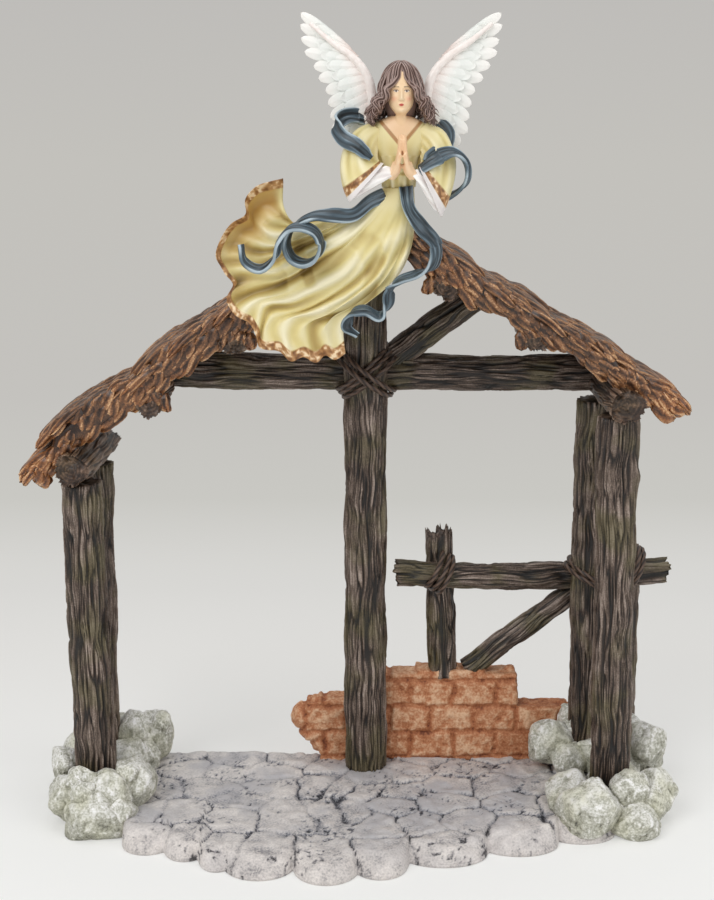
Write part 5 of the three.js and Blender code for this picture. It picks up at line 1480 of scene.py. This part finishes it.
class CRECHE_OT_gown(bpy.types.Operator):
    """Models the angel's streaming gown, bodice, bell sleeves and inner sleeves"""

    bl_idname = "creche.gown"
    bl_label = "Gown"

    def execute(self, context):
        cloth = finish("gown_painted_resin")
        dress(face_out(gown_cloth()), "gown", cloth, "angel_gown")
        dress(face_out(bodice_cloth()), "gown", cloth, "angel_bodice")
        for side, name in ((-1, "left"), (1, "right")):
            dress(face_out(sleeve_cloth(side, name)), "gown", cloth, f"angel_{name}_sleeve")
            dress(face_out(cuff_cloth(name)), "linen", finish("linen_painted_resin"), f"angel_{name}_cuff")
        return {"FINISHED"}


LOCK_GROOVES = 4
LOCK_GROOVE_DEPTH = 0.34


def path_tube(name, blank, rows, phase=None, **paints):
    """A round strand along rows of X, Y, Z and radius. A phase gives it grooves that wave along it."""
    mesh, turn, share, reach = blank
    line = curve(rows)
    here = line(share)
    ahead = unit(line(share + 0.01)[:, :3] - line(share - 0.01)[:, :3])
    helper = np.array((0.05, 1.0, 0.1))
    side = unit(np.cross(helper, ahead))
    up = np.cross(ahead, side)
    strand = np.full_like(turn, 0.6)
    size = here[:, 3] * reach
    if phase is not None:
        strand = 0.5 + 0.5 * np.cos(LOCK_GROOVES * turn + 6 * np.sin(5 * share + phase) + phase)
        size = size * (1 - LOCK_GROOVE_DEPTH + LOCK_GROOVE_DEPTH * strand)
    points = WAIST + here[:, :3] + side * (np.cos(turn) * size)[:, None] + up * (np.sin(turn) * size)[:, None]
    return place_piece(name, mesh, points, relief=np.clip(0.12 + 0.75 * strand, 0, 1), **paints)


def lock_rows(side, layer, around, chance):
    """A wavy lock from the parting over the crown, for a share of the way from the brow to the nape."""
    azimuth = math.radians(mix(-86, 96, around))
    lift = (0.0, 0.9, 1.7)[layer]
    end = (-17, -15, -11)[layer] - 3.5 * chance[3]
    rows = []
    for q in np.linspace(0, 1, 17):
        fall = max(0.0, (q - 0.42) / 0.58)
        lean = mix(0.08, 1.6, min(1.0, q / 0.42))
        wide = (11.0 + lift) * math.sin(lean) + 7.5 * fall**0.9
        high = (17 + lift) * math.cos(lean) if fall == 0 else mix(-0.5, end, fall)
        deep = (11.3 + lift) * math.sin(lean) - 1.8 * fall
        curl = (0.9 + 1.7 * chance[1]) * smoothstep(0.15, 0.6, q)
        phase = 6.3 * chance[4] + 2 * math.pi * (3.0 + 0.9 * chance[2]) * q
        if azimuth < 0:
            x = wide * mix(math.cos(azimuth) ** 0.8, 1.0, smoothstep(0.25, 0.6, q))
            y = deep * math.sin(azimuth) * mix(1.0, 0.72, smoothstep(0.4, 0.75, q))
            x = max(x, mix(2.2, 9.8, smoothstep(9.8, 1.0, high)) * smoothstep(14, 9, high) + 0.5 * chance[0])
        else:
            x = wide * mix(1.0, math.cos(azimuth), 0.9 * smoothstep(0, 0.3, q))
            y = deep * math.sin(azimuth)
        flare = 3.0 * (chance[5] - 0.2) * smoothstep(0.8, 1, q)
        size = (1.15 + 0.45 * chance[2]) * mix(0.7, 1.15, math.sin(math.pi * min(1, 0.15 + q)))
        size = size * (1 - 0.85 * smoothstep(0.84, 1, q))
        x, y = x + curl * math.sin(phase) + flare, y - 1.6 + 0.7 * curl * math.cos(phase)
        rows.append((1 + side * x, y, HEAD[2] + high + 0.5 * curl * math.cos(1.3 * phase), size))
    return rows


# The head from the neck up: middle X, Y and Z, half width and half depth
HEAD_LEVELS = curve(
    [
        (0, 1, -19, 5.4, 5.2), (0, 0.6, -15, 4.6, 4.8), (0, -1.2, -12.6, 3.2, 4.8),
        (0, -2.2, -11.4, 4.0, 6.4), (0, -1.8, -8.4, 6.4, 8.2), (0, -0.8, -3.6, 8.2, 9.5),
        (0, 0, 2.6, 9.0, 10.2), (0, 0.6, 9, 8.6, 9.8), (0, 1, 14, 5.8, 7), (0, 1.2, 16.4, 0.8, 1.2),
    ],
)

# Forms of a plain face: how far each stands out, its middle's X and Z, and its half width and height
FACE_FORMS = {
    "nostrils": (0.6, 1.2, -3.4, 0.7, 0.8),
    "sockets": (-1.3, 3.3, 1.9, 1.9, 1.5),
    "eyes": (0.8, 3.3, 1.7, 1.45, 0.85),
    "brows": (0.4, 2.6, 4.2, 2.6, 0.9),
    "lips": (0.8, 0, -6.4, 1.8, 1.0),
    "mouth": (-0.45, 0, -6.4, 1.7, 0.22),
    "chin": (0.9, 0, -9.9, 2.1, 1.5),
    "chin dent": (-0.4, 0, -8.1, 1.6, 0.6),
    "cheeks": (0.6, 4.4, -2.8, 2.2, 2.4),
}


def head_skin():
    """The head and the neck, with the face's forms and its painted lips, eyes, brows and cheeks."""
    mesh, turn, share, reach = round_blank(220, 170, 8)
    row = HEAD_LEVELS(share)
    x = row[:, 3] * np.cos(turn) * reach
    z = row[:, 2]
    aside = np.abs(x)
    front = smoothstep(0.1, 0.75, -np.sin(turn)) * (reach > 0.99)

    def bump(middle_x, middle_z, half_x, half_z):
        return bell((aside - middle_x) / half_x, (z - middle_z) / half_z)

    forward = np.interp(z, [-4.4, -3.7, -2.9, 1.6, 4.2], [0, 1.3, 2.3, 0.9, 0]) * bell(x / 1.1)
    for height, *place in FACE_FORMS.values():
        forward = forward + height * bump(*place)
    y = row[:, 1] + row[:, 4] * np.sin(turn) * reach - forward * front

    facing = front * (z > -12)
    lips = smoothstep(0.35, 0.6, bump(0, -6.4, 1.7, 0.9)) * facing
    almond = smoothstep(0.0, 0.25, 1 - ((aside - 3.3) / 1.45) ** 2 - ((z - 1.75) / 0.62) ** 2) * facing
    iris = 1 - smoothstep(0.5, 0.72, np.hypot(aside - 3.2, z - 1.7))
    lid = 1 - smoothstep(0.12, 0.34, np.abs(z - 2.4 + 0.2 * (aside - 3.3) ** 2))
    lid = lid * (np.abs(aside - 3.3) < 1.7)
    brow = 1 - smoothstep(0.15, 0.45, np.abs(z - 4.4 + 0.11 * (aside - 3.1) ** 2))
    brow = 0.7 * brow * (np.abs(aside - 3.5) < 2.0)
    dark = np.clip(np.maximum.reduce([iris * almond, lid, brow]), 0, 1) * facing
    blush = 0.65 * bump(4.7, -2.9, 1.9, 1.7) * facing
    # Painted light and shade: lighter on the forms that stand forward and on the front of the face, darker
    # under the chin
    shade = 0.72 + 0.25 * forward / 2 - 0.08 * smoothstep(-10, -13, z) + 0.06 * front
    return place_piece(
        "head_skin", mesh, WAIST + HEAD + np.stack([x, y, z], -1),
        relief=np.clip(shade, 0, 1), lips=lips, whites=almond, brows=dark, blush=blush,
    )


# Each finger's Y, the height of its tip and its radius
FINGERS = ((-23.6, 29.5, 1.3), (-21.6, 32.5, 1.45), (-19.4, 31.8, 1.4), (-17.4, 29, 1.2))
PALMS_MEET_X = 1.5
HANDS_VOXEL = 0.42


def hand(side):
    """The strands of one praying hand: four fingers, a thumb and a palm."""
    def at(aside, *rest):
        return (PALMS_MEET_X + side * aside, *rest)

    strands = []
    for y, top, size in FINGERS:
        strands.append([
            at(7.4, -18.4, 7.5, 2.6), at(4.4, 0.5 * (y - 19.4), 11, 2.3), at(2.6, y, 17.5, size + 0.35),
            at(1.7, y, 24, size), at(1.1, y, top, 0.8 * size), at(0.9, y, top + 1, 0.35),
        ])
    strands.append([
        at(4.8, -21, 11.5, 2.1), at(2.7, -24, 16, 1.5), at(1.5, -25.2, 21.5, 1.1), at(1.2, -25.2, 22.6, 0.3),
    ])
    strands.append([at(7.4, -18.4, 7.5, 3.3), at(4.6, -19, 11, 3.4), at(2.9, -20, 16, 3.1)])
    return [path_tube("hands_skin", round_blank(16, 20, 2), rows) for rows in strands]


def hands_skin():
    """Both hands grown into one skin, with shaded grooves between the fingers."""
    hands = joined("hands_skin", hand(-1) + hand(1))
    apply_modifier(hands, "REMESH", mode="VOXEL", voxel_size=HANDS_VOXEL * MM)
    apply_modifier(hands, "SMOOTH", factor=0.5, iterations=4)
    smooth_faces(hands.data)
    spot = places(hands) - WAIST
    between = np.abs(((spot[:, 1] + 18.4) / 2.05) % 1.0 - 0.5) * 2
    grooves = smoothstep(0.2, 0.75, between) * (spot[:, 2] > 15)
    paint(hands, relief=0.82 - 0.25 * grooves, lips=0.0, whites=0.0, brows=0.0, blush=0.12)
    return hands


# The hair under the locks: Y and height on the head, half width and half depth
CAP = (
    (2.5, -14, 8, 5), (1.5, -8, 9.8, 8), (0.9, 0, 10.3, 9.6), (0.5, 8, 9.8, 10.4),
    (0.1, 13, 7.8, 9), (-0.1, 17, 4.0, 5), (-0.3, 18.4, 0.6, 0.8),
)

# Locks on each side in three layers, the lowest first
LOCKS = (22, 20, 13)


def hair_locks():
    """The hair: a cap covered in wavy locks, in three layers on each side."""
    cap = [(HEAD[0], y, HEAD[2] + z, wide, deep, 0) for y, z, wide, deep in CAP]
    locks = [rows_tube("hair_cap", round_blank(80, 50, 2), cap)]
    blank = round_blank(14, 56, 1)
    seed = 0
    for side in (-1, 1):
        for layer, count in enumerate(LOCKS):
            for k in range(count):
                seed += 1
                chance = chances(6, seed, 4.1, seed * 0.77)
                rows = lock_rows(side, layer, (k + 0.5 * chance[0]) / count, chance)
                locks.append(path_tube("hair_lock", blank, rows, phase=6 * chance[5]))
    return joined("hair_locks", locks)


class CRECHE_OT_head(bpy.types.Operator):
    """Models the angel's head, praying hands and wavy hair"""

    bl_idname = "creche.head"
    bl_label = "Head and Hands"

    def execute(self, context):
        skin = finish("skin_painted_resin")
        dress(face_out(head_skin()), "skin", skin, "angel_head")
        dress(hands_skin(), "skin", skin, "angel_hands")
        dress(face_out(hair_locks()), "hair", finish("hair_painted_resin"), "angel_hair")
        return {"FINISHED"}


# Wings

WING_BONE = [(12, 34), (15, 50), (17, 64), (25, 77), (40, 88), (58, 103)]
WING_TIPS = [(28, 20), (39, 26), (43, 40), (46, 55), (53, 70), (60, 87), (62.5, 109.5)]


# Rows of feathers: how many, start and end between bone and tips, width and height over the wing's middle
FEATHER_ROWS = ((12, 0.14, 1.0, 10.4, 0.0), (12, 0.05, 0.72, 9.4, 0.9), (12, 0.0, 0.46, 8.4, 1.6))
FEATHER_CURL = 0.8


def feather(root, tip, width, lift, seed):
    """One feather: a thin vane with a quill, barbs and a rounded tip. Returns its mesh, places and light."""
    mesh, u, v, w = sheet_blank(26, 12)
    root, tip = np.array(root, dtype=float), np.array(tip, dtype=float)
    length = np.linalg.norm(tip - root)
    ahead = (tip - root) / length
    across = unit(np.cross(ahead, FACE))
    upper, rim = w > 0.8, on_rim(w)
    tapered = np.sqrt(np.clip(1 - ((u - 0.6) / 0.4).clip(0, 1) ** 2.2, 0, 1))
    rounded = tapered * mix(0.62, 1, smoothstep(0, 0.35, u))
    cup = 0.5 * (1 - (2 * v - 1) ** 2) * rounded
    quill = 0.5 * bell((v - 0.5) * width / 0.55) * (1 - 0.6 * u)
    barbs = 0.5 + 0.5 * np.cos(2 * np.pi * (u * length / 2.2 + np.abs(v - 0.5) * 3.2) + seed)
    thick = np.where(rim, 0.0, np.where(upper, 0.55, -0.55))
    forward = lift + cup + thick - FEATHER_CURL * u**2 + (0.6 * quill + 0.07 * barbs) * upper
    s = np.where(rim & (u > 0.999), 1.01, u)
    offset = (v - 0.5) * width * rounded
    points = root + ahead * (length * s)[:, None] + across * offset[:, None] + FACE * forward[:, None]
    # Painted shade: darker at the root, which lies under the feathers over it, and along the vane's edges,
    # and lighter towards the tip
    light = 0.62 + 0.08 * barbs + 0.2 * smoothstep(0.4, 1, u) - 0.2 * (1 - smoothstep(0.1, 0.6, u))
    return mesh, points, np.clip(light - 0.22 * np.abs(2 * v - 1) ** 8, 0, 1)


def wing_depth(s):
    """How far a wing leans back at a share of the way along its bone."""
    return 9 + 14 * s * s


def feathers(side, bone, tips, face, layer):
    """One row of feathers on the front or the back of a wing."""
    count, start, end, width, lift = FEATHER_ROWS[layer]
    row = []
    for k in range(count):
        s = (k + 0.35) / (count - 0.3)
        chance = float(lattice(np.array((k * 1.3, layer + 3.0, side + 5.0)), 9)) - 0.5
        near = bone(max(0, s - 0.42 * s * s))
        far = tips(min(1.0, s + 0.012 * chance))
        root, tip = mix(near, far, start), mix(near, far, end * (0.985 + 0.06 * chance))
        y, tip_y = wing_depth(s), wing_depth(s) + 4 * end * end
        mesh, points, relief = feather(
            (root[0], y, root[1]), (tip[0], tip_y, tip[1]), width * mix(1, 0.72, s), lift + 0.28 * (k % 2), k,
        )
        if face < 0:
            points[:, 1] = y + tip_y - points[:, 1]
        way = far - near
        share = (points[:, [0, 2]] - near) @ way / (way @ way)
        rose = 0.6 * (1 - smoothstep(0.05, 0.45, share))
        teal = 0.5 * smoothstep(0.25, 0.5, share) * (1 - smoothstep(0.6, 0.95, share))
        row.append(place_piece("feather", mesh, points + WAIST, relief=relief, rose=rose, teal=teal))
    return row


def wing_arm(side, bone):
    """The wing's leading edge, covered in small scales."""
    rows = []
    for s in np.linspace(0, 0.94, 9):
        x, z = bone(s)
        rows.append((x + side * 1.2, wing_depth(s) - 0.4, z - 0.8, mix(4.0, 1.0, s)))
    arm = path_tube("wing_arm", round_blank(40, 120, 3), rows)
    spot = places(arm)
    scales = cells(spot / 3.4, 91)
    write(arm.data, spot + read(arm.data, "normal") * (0.4 * (0.6 - scales))[:, None])
    paint(arm, relief=np.clip(0.95 - 0.45 * scales, 0, 1), rose=0.6, teal=0.0)
    return arm


class CRECHE_OT_wings(bpy.types.Operator):
    """Models each wing: rows of feathers over one another on both sides of an arm"""

    bl_idname = "creche.wings"
    bl_label = "Wings"

    def execute(self, context):
        for side, outward, name in ((-1, 1.0, "left"), (1, 1.05, "right")):
            bone = curve([(side * x * outward, z) for x, z in WING_BONE], 2)
            tips = curve([(side * x * outward, z) for x, z in WING_TIPS], 2)

            # The longest feathers are one row, seen from both sides
            parts = []
            for face, layers in ((1, (0, 1, 2)), (-1, (1, 2))):
                for layer in layers:
                    parts += feathers(side, bone, tips, face, layer)
            parts.append(wing_arm(side, bone))
            socket = [
                (side * 11, 7, 30, 3.4), (side * 13 * outward, 9.5, 36, 4.2),
                (side * 15 * outward, 9.4, 44, 3.6),
            ]
            parts.append(path_tube("wing_arm", round_blank(24, 20, 2), socket, rose=0.9, teal=0.0))
            wing = joined(f"{name}_wing_feathers", parts)
            dress(face_out(wing), "feather", finish("feather_painted_resin"), f"angel_{name}_wing")
        return {"FINISHED"}


# Sash: places along each ribbon's middle, and the way that its width lies there

SASH = {
    "sash_left_tail": [
        (-9, -10, -4, 0, 0.2, 1), (-18, -15.5, -8, 0, 0.2, 1), (-28, -20, -15, 0, 0.4, 1),
        (-42, -22.5, -15, 0, 0.6, 0.8), (-55, -21, -16, 0.2, 0.9, 0.5), (-65, -19, -23, 0.45, 1, 0.4),
        (-69, -19, -34, 0.45, 1, 0.4), (-65.5, -20, -42, 0.45, 1, 0.4), (-58.5, -21, -44.5, 0.45, 1, 0.4),
        (-51, -22, -41, 0.45, 1, 0.4), (-48, -23, -33.5, 0.45, 1, 0.4), (-51, -24, -25.5, 0.45, 1, 0.4),
        (-59, -25, -21.5, 0.45, 1, 0.4), (-67.5, -26, -23, 0.45, 1, 0.4), (-74, -26, -31, 0.45, 1, 0.4),
        (-77, -25, -41, 0.4, 1, 0.5), (-86, -24, -47.5, 0.2, 1, 0.6), (-95, -24, -43, 0.2, 1, 0.6),
        (-97, -23, -33, 0.3, 0.9, 0.6),
    ],
    "sash_right_tail": [
        (4, -9, 1, 0.9, 0.3, 0.3), (6, -12.5, -12, 0.9, 0.3, 0.3), (14, -13, -24, 0.8, 0.4, 0.4),
        (23, -13, -35, 0.8, 0.5, 0), (22, -12, -47, 0.5, 0.8, -0.4), (12, -13, -53, 0, 1, 0.3),
        (1, -14, -57, 0, 1, 0.4), (-6, -14, -64, 0.6, 0.8, 0), (-7, -13, -72, 0.6, 0.8, 0.2),
        (-12, -13, -79, 0, 0.8, 0.6), (-21, -14, -75, 0, 0.8, 0.6), (-29, -14, -77, 0.4, 0.8, 0.4),
        (-33, -14, -86, 0.8, 0.6, 0), (-26, -14, -92, 0.3, 0.8, 0.4),
    ],
    "sash_left_shoulder": [
        (-10, 9, 32, 0, 0.3, 1), (-20, 9, 41, 0, 0.4, 1), (-32, 4, 43, 0, 0.6, 0.9),
        (-39, -4, 38, 0.3, 0.3, 0.9), (-35, -11, 31, 0.5, 0, 0.8), (-26, -15, 26, 0.5, 0, 0.8),
        (-17, -17, 19, 0.4, -0.2, 0.8),
    ],
    "sash_right_shoulder": [
        (11, 9, 33, 0, 0.3, 1), (22, 9, 39, 0, 0.5, 0.9), (30, 5, 33, 0.4, 0.5, 0.7),
        (29, 0, 25, 0.7, 0.5, 0.4), (22, -10, 21, 0.4, 0.3, 0.8), (16, -17, 16, 0.3, 0.4, 0.8),
    ],
    "sash_right_hoop": [
        (12, -18, 12, 0.2, 0.6, 0.8), (22, -20, 19, 0, 0.6, 0.8), (33, -17, 22, 0, 0.9, 0.4),
        (41, -12, 15, 0.2, 1, 0), (41, -8, 3, 0.3, 1, 0.1), (33, -5, -4, 0.3, 0.9, 0.4),
        (25, -4, -6, 0.3, 0.6, 0.7),
    ],
}


RIBBON_WIDTH = 9.4


def ribbon(name, route, seed):
    """A band of moulded cloth along a route, hollow across its width and streaked along it."""
    line = curve(route)
    mesh, u, v, w = sheet_blank(190, 26)
    here = line(u)
    ahead = unit(line(u + 0.004)[:, :3] - line(u - 0.004)[:, :3])
    flat = unit(here[:, 3:6] - ahead * (here[:, 3:6] * ahead).sum(axis=1, keepdims=True))
    proud = np.cross(ahead, flat)
    length = np.linalg.norm(np.diff(line(np.linspace(0, 1, 60))[:, :3], axis=0), axis=1).sum()
    half = RIBBON_WIDTH / 2 * (0.74 + 0.26 * np.sin(np.pi * np.clip(0.12 + 0.8 * u, 0, 1)))
    half = half * (1 - 0.45 * smoothstep(0.93, 1.0, u)) * (1 + 0.09 * np.sin(u * length / 5 + seed))
    rim = on_rim(w)
    across = (2 * v - 1) * np.where(rim, 1.07, 1)
    streak = np.sin(6.82 * across + 1.3 * np.sin(u * length / 11 + seed)) * 0.5
    fine = noise(np.stack([u * length / 9, across * 5.5, np.full_like(u, seed)], -1), 95) - 0.5
    hollow = 1.1 * (across**2 - 0.35) * np.sign(np.sin(u * length / 24 + seed) + 0.6)
    thick = np.where(rim, 0.0, np.where(w > 0.5, 1.0, -1.0)) * (0.75 + 0.25 * np.abs(across))
    offset = hollow + thick + 0.3 * streak + 0.5 * fine
    points = WAIST + here[:, :3] + flat * (across * half)[:, None] + proud * offset[:, None]
    edge = smoothstep(0.72, 1.0, np.abs(across))
    relief = np.clip(0.36 + 0.4 * edge + 0.24 * streak * np.sign(w - 0.5) + 0.7 * fine, 0, 1)
    return place_piece(name, mesh, points, relief=relief)


class CRECHE_OT_sash(bpy.types.Operator):
    """Models the ribbons of the sash along the routes that they blow in"""

    bl_idname = "creche.sash"
    bl_label = "Sash"

    def execute(self, context):
        for index, (name, route) in enumerate(SASH.items()):
            piece = ribbon(name + "_ribbon", route, index + 1.0)
            dress(face_out(piece), "sash", finish("sash_painted_resin"), name)
        return {"FINISHED"}


# Stage. The camera's focal length was solved from the photograph, in its pixels.

LAMPS_AIM = np.array((0, 0, 0.25))
FOCAL_PIXELS = 1612
PHOTO_HEIGHT = 900
SENSOR = 36


class CRECHE_OT_stage(bpy.types.Operator):
    """Sets the table, the backdrop, the lights and the camera"""

    bl_idname = "creche.stage"
    bl_label = "Stage"

    def execute(self, context):
        settings = context.scene.creche_stage
        scene = context.scene
        scene.view_settings.view_transform = "Standard"

        bpy.ops.object.select_all(action="DESELECT")
        bpy.ops.mesh.primitive_plane_add(size=1, location=(0, 0, 0))
        sweep = context.object
        sweep.name = "studio_sweep"
        bpy.ops.object.mode_set(mode="EDIT")
        bpy.ops.mesh.select_all(action="SELECT")
        bpy.ops.transform.resize(value=(8, 4.4, 1))
        bpy.ops.mesh.select_mode(type="EDGE")
        bpy.ops.mesh.select_all(action="DESELECT")
        mesh = bmesh.from_edit_mesh(sweep.data)
        for edge in mesh.edges:
            edge.select = all(v.co.y > 1 for v in edge.verts)
        bmesh.update_edit_mesh(sweep.data)
        bpy.ops.mesh.extrude_region_move(TRANSFORM_OT_translate={"value": (0, 0.6, 3.5)})
        bpy.ops.object.mode_set(mode="OBJECT")
        apply_modifier(sweep, "BEVEL", width=0.8, segments=16, angle_limit=math.radians(30))
        smooth_faces(sweep.data)
        sweep.data.materials.append(self.paper())

        world = bpy.data.worlds.new("studio")
        scene.world = world
        world.use_nodes = True
        world.node_tree.nodes["Background"].inputs["Color"].default_value = (1, 1, 1, 1)
        world.node_tree.nodes["Background"].inputs["Strength"].default_value = 0.42

        lamps = {
            "key_lamp": ((-0.9, -1.3, 1.5), 1.3, settings.key_power),
            "fill_lamp": ((1.3, -1.0, 0.9), 1.2, 0.42 * settings.key_power),
            "top_lamp": ((0.1, 0.2, 1.7), 1.4, 0.45 * settings.key_power),
        }
        for name, (place, size, power) in lamps.items():
            bpy.ops.object.light_add(type="AREA", location=place)
            lamp = context.object
            lamp.name = name
            lamp.data.size = size
            lamp.data.energy = power
            toward = unit(LAMPS_AIM - np.array(place))
            heading = math.atan2(toward[1], toward[0]) - math.pi / 2
            lamp.rotation_euler = (math.acos(-toward[2]), 0, heading)

        bpy.ops.object.camera_add(location=(0, -settings.camera_distance, settings.camera_height))
        camera = context.object
        camera.name = "photo_camera"
        camera.rotation_euler = (math.pi / 2 - settings.camera_tilt, 0, 0)
        camera.data.sensor_width = SENSOR
        camera.data.lens = FOCAL_PIXELS / PHOTO_HEIGHT * SENSOR
        scene.camera = camera
        return {"FINISHED"}

    def paper(self):
        """Seamless grey-white studio paper: matt, and darker towards its top."""
        material = bpy.data.materials.new("studio_paper")
        material.use_nodes = True
        tree = material.node_tree
        tree.nodes.clear()
        place = add(tree, "ShaderNodeTexCoord").outputs["Object"]
        parts = add(tree, "ShaderNodeSeparateXYZ", {"Vector": place})
        far = add(tree, "ShaderNodeMath", {0: parts.outputs["Y"], 1: parts.outputs["Z"]}, operation="ADD")
        run = add(tree, "ShaderNodeMapRange", {"Value": far.outputs[0], 1: 0.0, 2: 3.0, 3: 0.0, 4: 1.0})
        color = add(
            tree, "ShaderNodeValToRGB", {"Fac": run.outputs[0]},
            stops=[
                (0.0, "#fafaf8"), (0.1, "#e8e7e4"), (0.16, "#dad9d6"), (0.27, "#c9c8c3"), (0.46, "#c4c2be"),
                (0.8, "#c3c1bc"), (1.0, "#bebcb9"),
            ],
        )
        paper = add(tree, "ShaderNodeBsdfDiffuse", {"Color": color.outputs["Color"]})
        lit = add(tree, "ShaderNodeEmission", {"Color": color.outputs["Color"], "Strength": 1.0})
        ray = add(tree, "ShaderNodeLightPath")
        rays = {0: ray.outputs["Is Camera Ray"], 1: ray.outputs["Is Glossy Ray"]}
        seen = add(tree, "ShaderNodeMath", rays, operation="ADD")
        through = add(
            tree, "ShaderNodeMath", {0: seen.outputs[0], 1: ray.outputs["Is Transmission Ray"]},
            operation="ADD", use_clamp=True,
        )
        behind = add(
            tree, "ShaderNodeMapRange", {"Value": far.outputs[0], 1: 0.1, 2: 0.6, 3: 0.35, 4: 1.0},
            interpolation_type="SMOOTHSTEP",
        )
        factors = {0: through.outputs[0], 1: behind.outputs[0]}
        share = add(tree, "ShaderNodeMath", factors, operation="MULTIPLY")
        inputs = {0: share.outputs[0], 1: paper.outputs[0], 2: lit.outputs[0]}
        shader = add(tree, "ShaderNodeMixShader", inputs)
        add(tree, "ShaderNodeOutputMaterial", {"Surface": shader.outputs[0]})
        return material


class CRECHE_PT_sidebar(bpy.types.Panel):
    bl_label = "Nativity Creche"
    bl_idname = "CRECHE_PT_sidebar"
    bl_space_type = "VIEW_3D"
    bl_region_type = "UI"
    bl_category = "Creche"

    def draw(self, context):
        for operator in OPERATORS:
            self.layout.operator(operator.bl_idname)
        for group in ("creche_stage", "creche_stable"):
            settings = getattr(context.scene, group)
            for key in settings.bl_rna.properties.keys():
                if key not in ("rna_type", "name"):
                    self.layout.prop(settings, key)


OPERATORS = (
    CRECHE_OT_stage, CRECHE_OT_paving, CRECHE_OT_boulders, CRECHE_OT_wall, CRECHE_OT_frame, CRECHE_OT_fence,
    CRECHE_OT_lashings, CRECHE_OT_thatch, CRECHE_OT_gown, CRECHE_OT_head, CRECHE_OT_wings, CRECHE_OT_sash,
)
CLASSES = (StageSettings, StableSettings, *OPERATORS, CRECHE_PT_sidebar)


def register():
    for cls in CLASSES:
        bpy.utils.register_class(cls)
    bpy.types.Scene.creche_stage = bpy.props.PointerProperty(type=StageSettings)
    bpy.types.Scene.creche_stable = bpy.props.PointerProperty(type=StableSettings)


def unregister():
    del bpy.types.Scene.creche_stable
    del bpy.types.Scene.creche_stage
    for cls in reversed(CLASSES):
        bpy.utils.unregister_class(cls)


def main():
    register()
    for operator in OPERATORS:
        group, name = operator.bl_idname.split(".")
        getattr(getattr(bpy.ops, group), name)()


if __name__ == "__main__":
    main()
